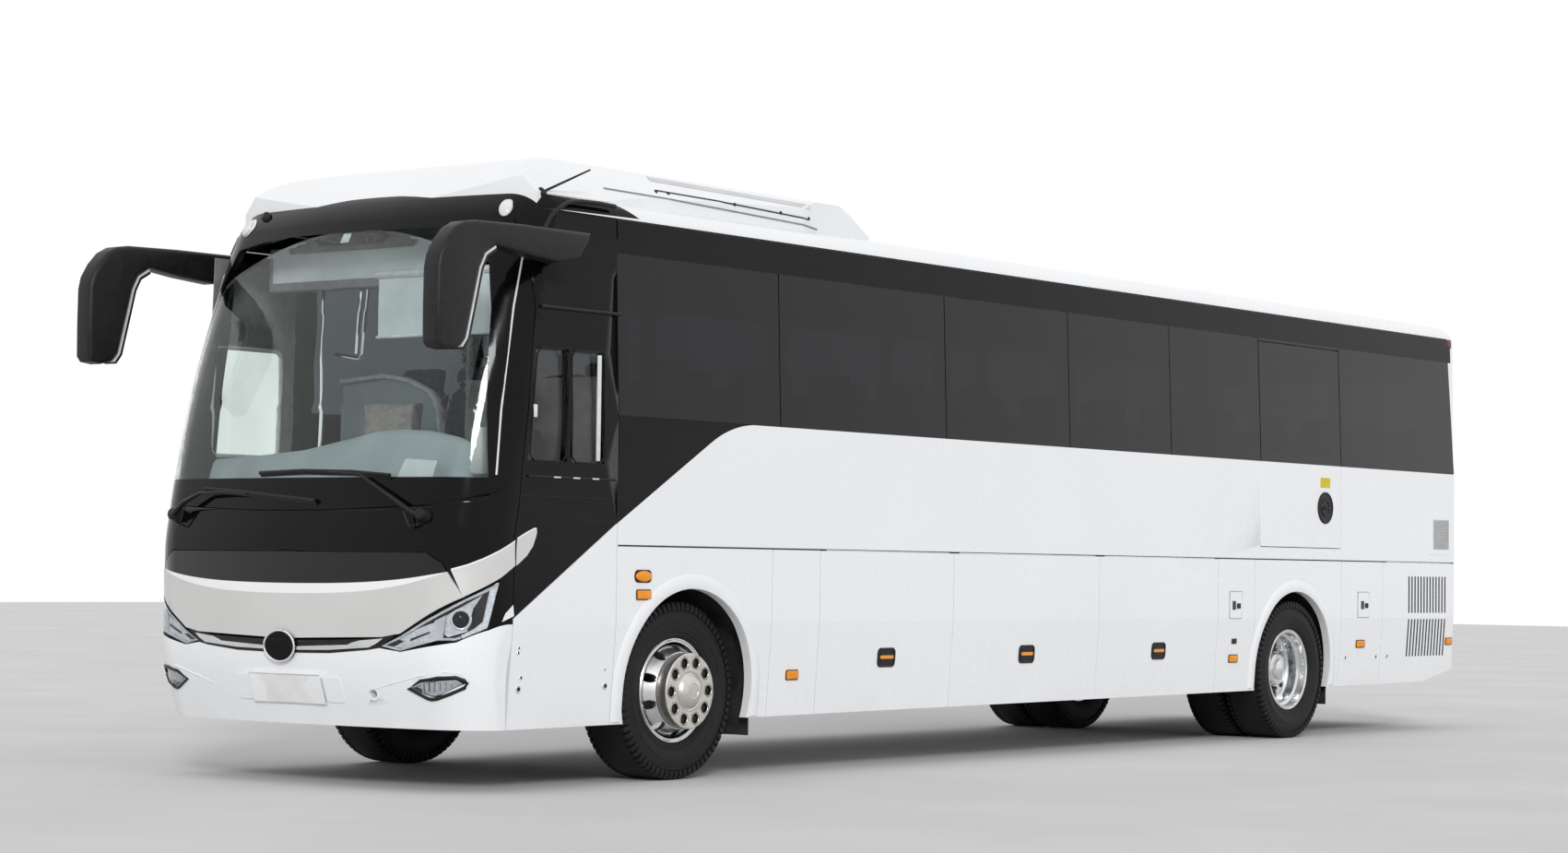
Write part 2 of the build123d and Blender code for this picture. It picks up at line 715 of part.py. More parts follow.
def make_side_panels():
    """White skirt panels, upper panels and the driver's black panel."""
    blank = side_blank(SKIRT_Z, MOULDING_Z, WALL)
    panels = []
    for y0, y1, axle in FIXED_PANELS:
        panel = side_piece(blank, lower_rows(y0 + GAP / 2, y1 - GAP / 2))
        if axle is not None:
            panel -= arch(axle)
        panels += pair(panel)
    nose_shell = NOSE_SHELL & block(0, HALF + FAR, NOSE_SEAM - 50, DOOR_SEAM, 0, CAP_Z)
    white = (
        (NOSE_SEAM + GAP, skirt_z(NOSE_SEAM)),
        (NOSE_SEAM + GAP, DIAGONAL[0][1]),
        (DOOR_SEAM - GAP / 2, DIAGONAL[1][1] - GAP / 2),
        (DOOR_SEAM - GAP / 2, skirt_z(DOOR_SEAM)),
    )
    panels.append(nose_shell & along_x(white, 0, HALF + FAR))
    keep("lower_panels", *panels)

    upper = side_blank(MOULDING_Z, BELT_Z, WALL)
    rows = (
        (DOOR_SEAM + GAP / 2, MOULDING_Z),
        (DOOR_SEAM + GAP / 2, DIAGONAL[1][1]),
        DIAGONAL[2],
        (*BELT_BEND, *BELT_ARC),
        (TAIL_SEAM, BELT_Z),
        (TAIL_SEAM, MOULDING_Z),
    )
    white = side_piece(upper, rows)
    web = HINGE_ROD_R * 2
    for y0, y1, _ in (*LUGGAGE, (ENGINE_SEAM, TAIL_SEAM, 0)):
        first, last = y0 + HINGE_END, y1 - HINGE_END
        hinge_z = FLAP_TOP + GAP / 2
        white += rod_y(HALF, hinge_z, first, last, HINGE_ROD_R)
        white += block(HALF - web, HALF, first, last, hinge_z + HINGE_PLAY, MOULDING_Z + 5)
    left = white - block(0, HALF + FAR, EXIT_SEAMS[0], EXIT_SEAMS[1], EXIT_Z[0], BELT_Z + 10)
    hinge_y = EXIT_SEAMS[0] + GAP / 2
    left += rod_z(HALF, hinge_y, EXIT_Z[0] + 20, BELT_Z - 20, HINGE_ROD_R)
    left += block(HALF - web, HALF, hinge_y - 10, hinge_y - HINGE_PLAY, EXIT_Z[0] + 20, BELT_Z - 20)
    keep("side_panels", left, other_side(white))


def pane_rows(y0, y1, z0, z1, lean=0.0):
    """Outline of a pane."""
    return ((y0, z0), (y0, z1), (y1 - lean, z1), (y1, z0))


def make_window_bands():
    """Black bands behind the flush panes with the window holes, and the panes themselves."""
    blank = side_blank(BELT_Z, COVE_Z, WALL, GLASS + SEAT)
    glass_blank = side_blank(BELT_Z, COVE_Z, GLASS)
    front = DOOR_SEAM + GAP / 2
    band = side_piece(blank, ((front, BELT_Z), (front, COVE_Z), TAIL_SEAM_LINE[2], (TAIL_SEAM, BELT_Z)))
    low_rows = ((front, DIAGONAL[1][1]), (front, BELT_Z), BELT_BEND, (*DIAGONAL[2], *BELT_ARC))
    band += side_piece(side_blank(MOULDING_Z, BELT_Z, WALL), low_rows)
    inner, outer = HALF - SIDE_REACH, HALF + 100
    right_panes = []
    left_panes = []
    ends = (*PANE_SEAMS, TAIL_SEAM)
    for y0, y1 in zip(ends, ends[1:]):
        band -= block(inner, outer, y0 + FRIT, y1 - FRIT, BELT_Z + FRIT, COVE_Z - FRIT)
        lean = TAIL_LEAN if y1 == TAIL_SEAM else 0.0
        rows = pane_rows(y0 + PANE_GAP / 2, y1 - PANE_GAP / 2, BELT_Z + 2, COVE_Z - 2, lean)
        pane = side_piece(glass_blank, rows)
        right_panes.append(other_side(pane))
        if y1 < TAIL_SEAM:
            left_panes.append(pane)
    front_end, rear_end = EXIT_SEAMS[0] - SEAT, EXIT_SEAMS[1] + SEAT
    header = side_piece(blank, pane_rows(*EXIT_SEAMS, EXIT_Z[1], COVE_Z))
    left = band - block(inner, outer, front_end, rear_end, BELT_Z - 5, COVE_Z + 5)
    left += side_piece(blank, pane_rows(rear_end, EXIT_SEAMS[1] + FRIT, BELT_Z, COVE_Z))
    first, last = EXIT_SEAMS[0] + PANE_GAP / 2, EXIT_SEAMS[1] - PANE_GAP / 2
    left_panes.append(side_piece(glass_blank, pane_rows(first, last, EXIT_Z[1] + GAP / 2, COVE_Z - 2)))
    first, last = EXIT_SEAMS[1] + PANE_GAP / 2, TAIL_SEAM - PANE_GAP / 2
    left_panes.append(side_piece(glass_blank, pane_rows(first, last, BELT_Z + 2, COVE_Z - 2, TAIL_LEAN)))
    return (left, header, other_side(band)), left_panes + right_panes


def make_driver_panel():
    """Black panel with the driver's sliding panes, between the nose seam and the door seam."""
    seam = [(y + GAP, z) for y, z in NOSE_SEAM_LINE if z > DIAGONAL[0][1]]
    rows = [(NOSE_SEAM + GAP, DIAGONAL[0][1] + GAP), *seam]
    rear = DOOR_SEAM - GAP / 2
    rows += [(NOSE_SEAM + 260, COVE_Z), (rear, COVE_Z), (rear, DIAGONAL[1][1] + GAP / 2)]
    panel = (NOSE_SHELL & along_x(rows, 0, HALF + FAR)) - cap_region()
    glass = []
    low, high = DRIVER_PANE_Z
    layer = nose(DRIVER_GLASS_DEPTH) - nose(DRIVER_GLASS_DEPTH + GLASS)
    for y0, y1, lean in DRIVER_PANES:
        hole = ((y0, low), (y0 + lean, high), (y1 + lean / 4, high), (y1, low))
        cut = along_x(hole, HALF / 2, HALF + FAR)
        panel -= cut
        glass.append(layer & cut)
    return panel, glass


def make_entrance_door():
    """Right-side plug door: a black frame with one long pane and a lower pane."""
    seam = [(y + GAP, z) for y, z in NOSE_SEAM_LINE if z < CAP_Z]
    rows = [(NOSE_SEAM + GAP, skirt_z(NOSE_SEAM)), *seam[1:]]
    rear = DOOR_SEAM - GAP / 2
    rows += [(NOSE_SEAM + 169 + GAP, DOOR_TOP), (rear, DOOR_TOP), (rear, skirt_z(DOOR_SEAM))]
    door = other_side(NOSE_SHELL & along_x(rows, 0, HALF + FAR))
    front = NOSE_SEAM + 172 + GAP
    header_rows = [(front, DOOR_TOP + GAP), (front, COVE_Z), (rear, COVE_Z), (rear, DOOR_TOP + GAP)]
    header = other_side((NOSE_SHELL & along_x(header_rows, 0, HALF + FAR)) - cap_region())
    glass = []
    seam_at = [(z, y) for y, z in NOSE_SEAM_LINE]
    back = DOOR_SEAM - DOOR_FRAME
    for z0, z1 in DOOR_PANE_Z:
        y0 = at_height(seam_at, z0) + DOOR_FRAME
        y1 = at_height(seam_at, z1) + DOOR_FRAME
        cut = along_x(((y0, z0), (y1, z1), (back, z1), (back, z0)), -HALF - FAR, -HALF / 2)
        door -= cut
        glass.append((nose(10) - nose(10 + GLASS)) & cut)
    keep("entrance_door", door)
    return header, glass


def make_exit_door():
    """Left-side emergency door with its pane, hinged at its front edge."""
    y0, y1 = EXIT_SEAMS[0] + GAP, EXIT_SEAMS[1] - GAP
    z0, z1 = EXIT_Z[0] + GAP, EXIT_Z[1] - GAP
    low = side_piece(side_blank(MOULDING_Z, BELT_Z, WALL), pane_rows(y0, y1, z0, BELT_Z))
    high = side_piece(side_blank(BELT_Z, COVE_Z, WALL, GLASS + SEAT), pane_rows(y0, y1, BELT_Z, z1))
    hole = block(HALF - SIDE_REACH, HALF + 100, y0 + FRIT, y1 - FRIT, BELT_Z + FRIT, z1 - FRIT)
    keep("emergency_door", (low + high) - hole)
    keep("emergency_glass", side_piece(side_blank(BELT_Z, COVE_Z, GLASS), pane_rows(y0, y1, BELT_Z + 2, z1)))


def make_flaps():
    """Luggage flaps with latch recesses, and engine doors with two grilles each."""
    blank = side_blank(SKIRT_Z, FLAP_TOP, FLAP_T)
    for number, (y0, y1, latch) in enumerate(LUGGAGE, 1):
        flap = side_piece(blank, lower_rows(y0 + GAP / 2, y1 - GAP / 2, FLAP_TOP))
        dy, dz = LATCH_SIZE[0] / 2, LATCH_SIZE[1] / 2
        floor = side_x(LATCH_Z) - LATCH_DEPTH
        flap -= block(floor, HALF + 50, latch - dy, latch + dy, LATCH_Z - dz, LATCH_Z + dz)
        keep(f"left_luggage_flap_{number}", flap)
        keep(f"right_luggage_flap_{number}", other_side(flap))
    door = side_piece(blank, lower_rows(ENGINE_SEAM + GAP / 2, TAIL_SEAM - GAP / 2, FLAP_TOP))
    for z0, z1 in GRILLES:
        for n in range(SLOTS):
            y = GRILLE_Y[0] + (n + 0.5) * (GRILLE_Y[1] - GRILLE_Y[0]) / SLOTS
            door -= block(HALF - 200, HALF + 50, y - SLOT_W / 2, y + SLOT_W / 2, z0, z1)
    keep("left_engine_door", door)
    keep("right_engine_door", other_side(door))


def rear_box(half, z0, z1):
    """A box through the rear wall."""
    return block(-half, half, REAR - FAR, REAR + FAR, z0, z1)


def make_rear():
    """Rear wall with its window, lamps and the engine lid."""
    rows = [(REAR + FAR, SKIRT_Z - 200), *TAIL_SEAM_LINE, (REAR + FAR, COVE_Z)]
    wall = TAIL_SHELL & along_x(rows, -HALF - FAR, HALF + FAR)
    wall -= block(-HALF - FAR, HALF + FAR, REAR - END_BLANK, REAR + FAR, 0, skirt_z(REAR - 60))
    half, z0, z1 = ENGINE_LID
    wall -= rear_box(half + GAP, z0 - LID_DROP, z1 + GAP)
    hinge_z = z1 + GAP / 2
    reach = LID_HINGE_HALF
    wall += rod_x(-reach, reach, REAR + 1, hinge_z, HINGE_ROD_R)
    wall += block(-reach, reach, REAR - 12, REAR + 1, hinge_z + HINGE_PLAY, z1 + GAP + 5)
    lid = (TAIL_OUTER - tail(LID_T)) & rear_box(half, z0, z1)
    for n in range(LID_SLOTS):
        z = z0 + 140 + n * LID_SLOT_PITCH
        lid -= rear_box(LID_SLOT_HALF, z, z + LID_SLOT_H)
    keep("engine_lid", lid)
    half, z0, z1 = REAR_WINDOW
    rebate = (TAIL_OUTER - tail(GLASS + SEAT)) & rear_box(half + 3, z0 - 3, z1 + 3)
    wall = wall - rebate - rear_box(half - FRIT, z0 + FRIT, z1 - FRIT)
    glass = (TAIL_OUTER - tail(GLASS)) & rear_box(half, z0, z1)
    x0, x1, z0, z1 = REAR_LAMP
    lamp = block(x0, x1, REAR - 200, REAR + FAR, z0, z1)
    keep("rear_wall", wall - lamp - other_side(lamp))
    keep("rear_lamps", *pair(TAIL_SHELL & lamp))
    return glass


def make_frames():
    """Rails, bulkheads and cross members at both ends, and the luggage deck between the axles."""
    z0, z1 = RAIL_Z
    x0, x1 = RAIL_X
    bulkhead_top = FLOOR_Z - FLOOR_T
    deck_front = ARCH_SEAM - 49
    deck_rear = REAR_ARCH_SEAM - 28
    front_wall = DOOR_SEAM
    front = block(-DECK_HALF, DECK_HALF, front_wall, front_wall + 24, DECK_Z, bulkhead_top)
    front += block(x0, x1, FRONT + 300, deck_front, z0, z1) + block(-x1, -x0, FRONT + 300, deck_front, z0, z1)
    front += block(-CROSS_HALF, CROSS_HALF, FRONT + 260, FRONT + 330, DECK_Z, PLATFORM_Z - PLATFORM_T)
    for x in (-HORN_X, HORN_X):
        front += block(x - 60, x + 60, FRONT + 20, FRONT + 280, *HORN_Z) & NOSE_FIT
    rear_wall_y = REAR_AXLE + LINER_R + 10
    rear = block(-DECK_HALF, DECK_HALF, rear_wall_y, rear_wall_y + BULKHEAD_T, DECK_Z, bulkhead_top)
    rear += block(x0, x1, deck_rear, TAIL_SEAM, z0, z1) + block(-x1, -x0, deck_rear, TAIL_SEAM, z0, z1)
    rear += block(-CROSS_HALF, CROSS_HALF, TAIL_SEAM - 60, TAIL_SEAM + 30, DECK_Z + 60, z1)
    for y in (ENGINE_Y[0] + 150, ENGINE_Y[1] - 250):
        for sign in (-1, 1):
            inner, outer = sorted((sign * ENGINE_HALF, sign * x0))
            rear += block(inner, outer, y, y + 90, z0, z0 + 70)
    keep("chassis_frames", front, rear)
    deck = block(-DECK_HALF, DECK_HALF, deck_front, deck_rear, DECK_Z - DECK_T, DECK_Z)
    inner_walls = [y - BULKHEAD_T / 2 for y in FLAP_SEAMS[1:3]]
    walls = (deck_front, *inner_walls, deck_rear - BULKHEAD_T)
    for y in walls:
        deck += block(-DECK_HALF, DECK_HALF, y, y + BULKHEAD_T, DECK_Z - DECK_T, bulkhead_top)
    keep("luggage_deck", deck)


def make_running_gear():
    """Engine, axles with their air springs, knuckles, rims and tyres."""
    keep("engine", block(-ENGINE_HALF, ENGINE_HALF, *ENGINE_Y, *ENGINE_Z))
    beam_x = KINGPIN_X - 60
    beam = block(-beam_x, beam_x, FRONT_AXLE - 50, FRONT_AXLE + 50, TYRE_R - 55, TYRE_R + 45)
    for x in (-KINGPIN_X, KINGPIN_X):
        beam += rod_z(x, FRONT_AXLE, TYRE_R - 55, TYRE_R + 45, 62)
        beam -= rod_z(x, FRONT_AXLE, TYRE_R - 60, TYRE_R + 50, KINGPIN_R + RUNNING)
    spring_x = (RAIL_X[0] + RAIL_X[1]) / 2
    for x in (-spring_x, spring_x):
        beam += rod_z(x, FRONT_AXLE, TYRE_R, RAIL_Z[0], SPRING_R)
    tube_x = DUAL_X - DUAL_HALF - TYRE_W / 2 - 15
    half = (
        (0, 190),
        (110, 190),
        (210, 80),
        (tube_x, 80),
        (tube_x, REAR_SPINDLE_R),
        (HUB_END, REAR_SPINDLE_R),
    )
    rows = [(-x, r) for x, r in reversed(half[1:])] + list(half[1:]) + [(HUB_END, 0), (-HUB_END, 0)]
    tube = turned(rows, 0, REAR_AXLE, TYRE_R)
    for x in (-spring_x, spring_x):
        tube += rod_z(x, REAR_AXLE, TYRE_R + 20, RAIL_Z[0], SPRING_R)
    keep("axles", beam, tube)

    pin = rod_z(KINGPIN_X, FRONT_AXLE, TYRE_R - 110, TYRE_R + 100, KINGPIN_R)
    lower = rod_z(KINGPIN_X, FRONT_AXLE, TYRE_R - 110, TYRE_R - 60, 55)
    upper = rod_z(KINGPIN_X, FRONT_AXLE, TYRE_R + 50, TYRE_R + 100, 55)
    x0 = KINGPIN_X + 70
    plate = block(x0, x0 + 40, FRONT_AXLE - 60, FRONT_AXLE + 60, TYRE_R - 110, TYRE_R + 100)
    arms = block(KINGPIN_X, KINGPIN_X + 80, FRONT_AXLE - 45, FRONT_AXLE + 45, TYRE_R - 110, TYRE_R - 60)
    arms += block(KINGPIN_X, KINGPIN_X + 80, FRONT_AXLE - 45, FRONT_AXLE + 45, TYRE_R + 50, TYRE_R + 100)
    spindle = rod_x(KINGPIN_X + 100, FRONT_WHEEL_X + 150, FRONT_AXLE, TYRE_R, SPINDLE_R)
    knuckle = pin + lower + upper + plate + arms + spindle
    keep("left_knuckle", knuckle)
    keep("right_knuckle", other_side(knuckle))

    rim = front_rim()
    tyre = Pos(FRONT_WHEEL_X, FRONT_AXLE, TYRE_R) * tyre_ring()
    keep("front_left_rim", rim)
    keep("front_right_rim", other_side(rim))
    keep("front_left_tyre", tyre)
    keep("front_right_tyre", other_side(tyre))
    rims = rear_rims()
    tyres = [Pos(DUAL_X + s * DUAL_HALF, REAR_AXLE, TYRE_R) * tyre_ring() for s in (-1, 1)]
    keep("rear_left_rims", rims)
    keep("rear_right_rims", other_side(rims))
    keep("rear_left_tyres", *tyres)
    keep("rear_right_tyres", *[other_side(t) for t in tyres])


def tyre_ring():
    """A tyre about the X axis, centred."""
    w = TYRE_W / 2
    bead = RIM_W / 2 - RIM_LIP - SEAT
    lip = RIM_FLANGE_R + 2
    belly = (lip + TYRE_R) / 2 - 12
    rows = (
        (-bead, BEAD_R),
        (bead, BEAD_R),
        (bead, lip),
        (w - 24, lip + 8),
        (w - 20, TYRE_R - 20, w, belly),
        (w - 44, TYRE_R - 3),
        (44 - w, TYRE_R - 3, 0, TYRE_R),
        (20 - w, TYRE_R - 20),
        (24 - w, lip + 8, -w, belly),
        (-bead, lip),
    )
    return revolve(outline(Plane.XY, rows), Axis.X)


def rim_band():
    """The rolled band of a rim: seat, flanges and inner face."""
    w = RIM_W / 2
    r = BEAD_R - SEAT
    rows = (
        (-w, RIM_FLANGE_R),
        (RIM_LIP - w, RIM_FLANGE_R),
        (RIM_LIP - w, r),
        (w - RIM_LIP, r),
        (w - RIM_LIP, RIM_FLANGE_R),
        (w, RIM_FLANGE_R),
        (w, RIM_INNER_R),
        (-w, RIM_INNER_R),
    )
    return revolve(outline(Plane.XY, rows), Axis.X)


def around(count, pitch, shape):
    """Copies of a shape about the X axis."""
    copies = None
    for n in range(count):
        copy = Rot(X=360 * n / count) * Pos(0, 0, pitch) * shape
        copies = copy if copies is None else copies + copy
    return copies


def front_rim():
    """Steel disc wheel with hand holes, a proud hub cover with ten nut holes and a domed cap."""
    bore = SPINDLE_R + RUNNING
    rows = (
        (-60, bore),
        (-60, 118),
        (HUB_FACE - 14, 126),
        (HUB_FACE - 14, 212),
        (100, 250),
        (26, RIM_INNER_R + 1),
        (40, RIM_INNER_R + 1),
        (112, 262),
        (HUB_FACE, 222),
        (HUB_FACE + 2, HUB_COVER_R),
        (HUB_FACE + 50, HUB_COVER_R),
        (HUB_FACE + 58, 207),
        (HUB_FACE + 58, 112),
        (HUB_FACE + 70, 100),
        (HUB_FACE + 76, 55),
        (HUB_FACE + 76, 0),
        (HUB_FACE - 8, 0),
        (HUB_FACE - 8, bore),
    )
    disc = revolve(outline(Plane.XY, rows), Axis.X)
    holes = around(HAND_HOLES, HAND_HOLE_PITCH, Pos(80, 0, 0) * Rot(0, 90, 0) * Cylinder(HAND_HOLE_R, 180))
    nuts = around(STUDS, STUD_PITCH, Pos(HUB_FACE + 45, 0, 0) * Rot(0, 90, 0) * Cylinder(STUD_R, 50))
    wheel = rim_band() + disc - holes - nuts
    return Pos(FRONT_WHEEL_X, FRONT_AXLE, TYRE_R) * wheel


def rear_rims():
    """Two dished rims back to back on one hub."""
    bore = REAR_SPINDLE_R + RUNNING
    end = HUB_END + 20 - DUAL_X
    inner = 14.0
    hub_rows = (
        (-230, bore),
        (-230, 130),
        (-inner, 130),
        (-inner, 212),
        (-90, RIM_INNER_R + 1),
        (-76, RIM_INNER_R + 1),
        (0, 214),
        (76, RIM_INNER_R + 1),
        (90, RIM_INNER_R + 1),
        (inner, 212),
        (inner, 130),
        (60, 118),
        (190, 112),
        (205, 98),
        (205, 0),
        (end, 0),
        (end, bore),
    )
    hub = revolve(outline(Plane.XY, hub_rows), Axis.X)
    holes = around(HAND_HOLES, HAND_HOLE_PITCH, Rot(0, 90, 0) * Cylinder(HAND_HOLE_R, 240))
    both = hub - holes
    for side in (-1, 1):
        both += Pos(side * DUAL_HALF, 0, 0) * rim_band()
    return Pos(DUAL_X, REAR_AXLE, TYRE_R) * both


def make_liners():
    """Wheel-arch liners with a mud flap behind each wheel."""
    liners = []
    for axle in (FRONT_AXLE, REAR_AXLE):
        x0, x1 = LINER_X
        ring = rod_x(x0, x1, axle, TYRE_R, LINER_R)
        ring -= rod_x(x0 - 10, x1 + 10, axle, TYRE_R, LINER_R - LINER_T)
        ring &= block(x0, x1, axle - LINER_R, axle + LINER_R, TYRE_R, TYRE_R + LINER_R)
        y = axle + LINER_R
        ring += block(x0, x1 - 60, y - LINER_T, y, MUD_FLAP_Z, TYRE_R)
        liners += pair(ring & section(WALL + SEAT))
    keep("wheel_liners", *liners)


def make_cabin():
    """Raised floor, driver's platform with the entry steps, dashboard, wheel, partition and seats."""
    floor = block(WALL - HALF, HALF - WALL, DOOR_SEAM, TAIL_SEAM - 10, FLOOR_Z - FLOOR_T, FLOOR_Z)
    platform = block(-HALF, HALF, FRONT, DOOR_SEAM, PLATFORM_Z - PLATFORM_T, PLATFORM_Z)
    platform -= block(-HALF, WELL_X, WELL_FRONT + 20, DOOR_SEAM, PLATFORM_Z - 60, PLATFORM_Z + 10)
    platform &= NOSE_FIT
    low, tread, *rises = STEP_Z
    steps = block(WELL_LOW, WELL_X, WELL_FRONT, DOOR_SEAM, low, tread)
    steps += block(WELL_X - 20, WELL_X, WELL_FRONT, DOOR_SEAM, tread - 10, PLATFORM_Z)
    for n, rise in enumerate(rises):
        steps += block(STEP_X + STEP_RUN * n, WELL_X, WELL_FRONT, DOOR_SEAM, tread - 10, rise)
    keep("cabin_floor", floor, platform + steps)

    dash = along_x(DASH, *DASH_X) + along_x(BINNACLE, *BINNACLE_X)
    wheel, shaft = steering_wheel()
    keep("dashboard", (dash & NOSE_FIT) - shaft)
    keep("steering_wheel", wheel)
    screen = block(*PARTITION_X, DOOR_SEAM - 50, DOOR_SEAM - 20, PLATFORM_Z, PARTITION_TOP)
    keep("partition", screen + rod_z(PARTITION_X[0], DOOR_SEAM - 35, PLATFORM_Z, POST_TOP, POST_R))
    seats = [driver_seat()]
    for row in range(SEAT_ROWS):
        y = SEAT_FIRST + row * (SEAT_LAST - SEAT_FIRST) / (SEAT_ROWS - 1)
        seats += pair(along_x([(y + dy, FLOOR_Z + dz) for dy, dz in SEAT_SHAPE], *SEAT_X))
    keep("seats", *seats)


def driver_seat():
    """Driver's seat on its pedestal."""
    x, y = DRIVER_SEAT
    rows = [(y + dy, PLATFORM_Z + dz) for dy, dz in DRIVER_SEAT_SHAPE]
    seat = along_x(rows, x - DRIVER_SEAT_HALF, x + DRIVER_SEAT_HALF)
    foot_top = PLATFORM_Z + DRIVER_SEAT_SHAPE[0][1] + 5
    return seat + block(x - 180, x + 180, y - 280, y + 60, PLATFORM_Z, foot_top)


def steering_wheel():
    """Rim, hub, spokes and a column, and the hole that the column needs."""
    wheel = Torus(STEERING_R, STEERING_GRIP_R) + Cylinder(60, 40)
    for n in range(3):
        wheel += Rot(Z=90 + 120 * n) * Pos(130, 0, -5) * Box(210, 40, 14)
    place = Pos(*STEERING_PLACE) * Rot(X=STEERING_LEAN)
    column = Pos(0, 0, -STEERING_LENGTH / 2) * Cylinder(COLUMN_R, STEERING_LENGTH)
    shaft = Pos(0, 0, -STEERING_LENGTH / 2 - 15) * Cylinder(COLUMN_R + SEAT, STEERING_LENGTH)
    return place * (wheel + column), place * shaft


def make_mirrors():
    """Mirror heads on long arms from the roof's front corners."""
    rows = [tuple(FRONT + v if n % 2 == 0 else v for n, v in enumerate(row)) for row in MIRROR]
    arm = along_x(rows, *MIRROR_X)
    foot = block(MIRROR_FOOT_X, MIRROR_X[0] + 10, *MIRROR_FOOT_Y, *MIRROR_FOOT_Z) - NOSE_OUTER
    keep("mirrors", *pair(arm + foot))


def make_wipers():
    """The two wiper spindles at the foot of the screen."""
    spindle = Pos(WIPER_X, FRONT + 60, WIPER_Z) * Rot(90, 0, 0) * Cylinder(WIPER_R, WIPER_LENGTH)
    keep("wipers", *pair(spindle - NOSE_OUTER))


def make_amber_lamps():
    """Amber side lamps."""
    lamps = []
    for y, z, dy, dz in AMBER:
        lamp = block(HALF - TUCK, side_x(z) + LAMP_PROUD, y - dy, y + dy, z - dz, z + dz)
        lamps += pair(lamp - section(0))
    keep("amber_lamps", *lamps)


make_front_bumper()
make_lamps()
make_front_flap()
make_windscreen_and_mask()
make_cap_and_roof()
make_pod()
make_side_panels()
BANDS, PANES = make_window_bands()
DRIVER_PANEL, DRIVER_GLASS = make_driver_panel()
DOOR_HEADER, DOOR_GLASS = make_entrance_door()
REAR_GLASS = make_rear()
keep("window_bands", *BANDS, DRIVER_PANEL, DOOR_HEADER)
keep("tinted_glass", *PANES, *DRIVER_GLASS, *DOOR_GLASS, REAR_GLASS)
make_exit_door()
make_flaps()
make_frames()
make_running_gear()
make_liners()
make_cabin()
make_mirrors()
make_wipers()
make_amber_lamps()

for name, solids in NODES.items():
    export_step(Compound(children=solids) if len(solids) > 1 else solids[0], f"parts/{name}.step")
print(len(NODES), "nodes")
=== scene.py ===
# %% [markdown]
# # A touring coach, dressed on its CAD frame
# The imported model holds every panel, wheel and joint of the coach at its real size.
# This lesson loads it, sets a camera and daylight, and then gives each part the finish,
# the trim and the small hardware that the real vehicle shows.

# %% Load the frame
import json
import math

import bmesh
import bpy
from mathutils import Matrix, Vector
from mathutils.bvhtree import BVHTree
from mathutils.geometry import tessellate_polygon


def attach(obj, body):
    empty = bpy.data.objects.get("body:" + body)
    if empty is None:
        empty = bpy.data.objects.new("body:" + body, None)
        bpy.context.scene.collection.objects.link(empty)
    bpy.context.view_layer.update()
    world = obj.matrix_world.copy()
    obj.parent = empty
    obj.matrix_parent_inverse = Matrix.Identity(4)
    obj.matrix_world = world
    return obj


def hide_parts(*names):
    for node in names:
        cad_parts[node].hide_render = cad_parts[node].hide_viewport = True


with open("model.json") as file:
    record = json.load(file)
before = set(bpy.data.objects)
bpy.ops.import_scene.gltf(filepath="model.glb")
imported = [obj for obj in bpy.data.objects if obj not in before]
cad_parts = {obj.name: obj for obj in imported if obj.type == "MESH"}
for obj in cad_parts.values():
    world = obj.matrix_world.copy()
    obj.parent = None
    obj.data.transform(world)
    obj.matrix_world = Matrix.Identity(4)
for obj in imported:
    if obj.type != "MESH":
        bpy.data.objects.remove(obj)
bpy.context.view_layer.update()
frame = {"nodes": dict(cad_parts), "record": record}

NODES = frame["nodes"]

# %% [markdown]
# ## Camera
# The coach is seen from its front corner at about the height of the bumper's top, from
# twenty metres away, with the long lens that keeps its uprights upright. The direction
# comes from a yaw, a pitch and a small roll, and the three give the camera's own axes.

# %% Camera
YAW, PITCH, ROLL = (math.radians(a) for a in (37.3636, 2.6964, 0.7402))
CAMERA_PLACE = (12.8937, -18.2359, 1.2162)
SENSOR, PHOTO_WIDE, FOCAL_PX = 36.0, 1701, 3488.76
MIDDLE_ROW, AXIS_ROW = 462.5, 452.908


def placed(name, data):
    """A new object with this mesh, camera or light, linked to the scene."""
    thing = bpy.data.objects.new(name, data)
    bpy.context.scene.collection.objects.link(thing)
    return thing


view = bpy.data.cameras.new("camera")
view.sensor_width = SENSOR
view.lens = SENSOR * FOCAL_PX / PHOTO_WIDE
view.shift_y = -(MIDDLE_ROW - AXIS_ROW) / PHOTO_WIDE
view.clip_end = 200.0
camera = placed("camera", view)
bpy.context.scene.camera = camera

ahead = Vector((-math.sin(YAW) * math.cos(PITCH), math.cos(YAW) * math.cos(PITCH), math.sin(PITCH)))
level = Vector((math.cos(YAW), math.sin(YAW), 0.0))
over = level.cross(ahead)
right = level * math.cos(ROLL) + over * math.sin(ROLL)
up = over * math.cos(ROLL) - level * math.sin(ROLL)
turn = Matrix((right, up, -ahead)).transposed()
camera.matrix_world = Matrix.Translation(CAMERA_PLACE) @ turn.to_4x4()
print("lens", round(view.lens, 2), "mm")

# %% [markdown]
# ## Material recipes
# Paint, rubber and glass are all built the same way: a pattern on the object's own
# coordinates drives a colour, a roughness and a fine bump on one Principled shader.
# A small class keeps each recipe short. Values that are even over a surface are set on the
# shader itself.

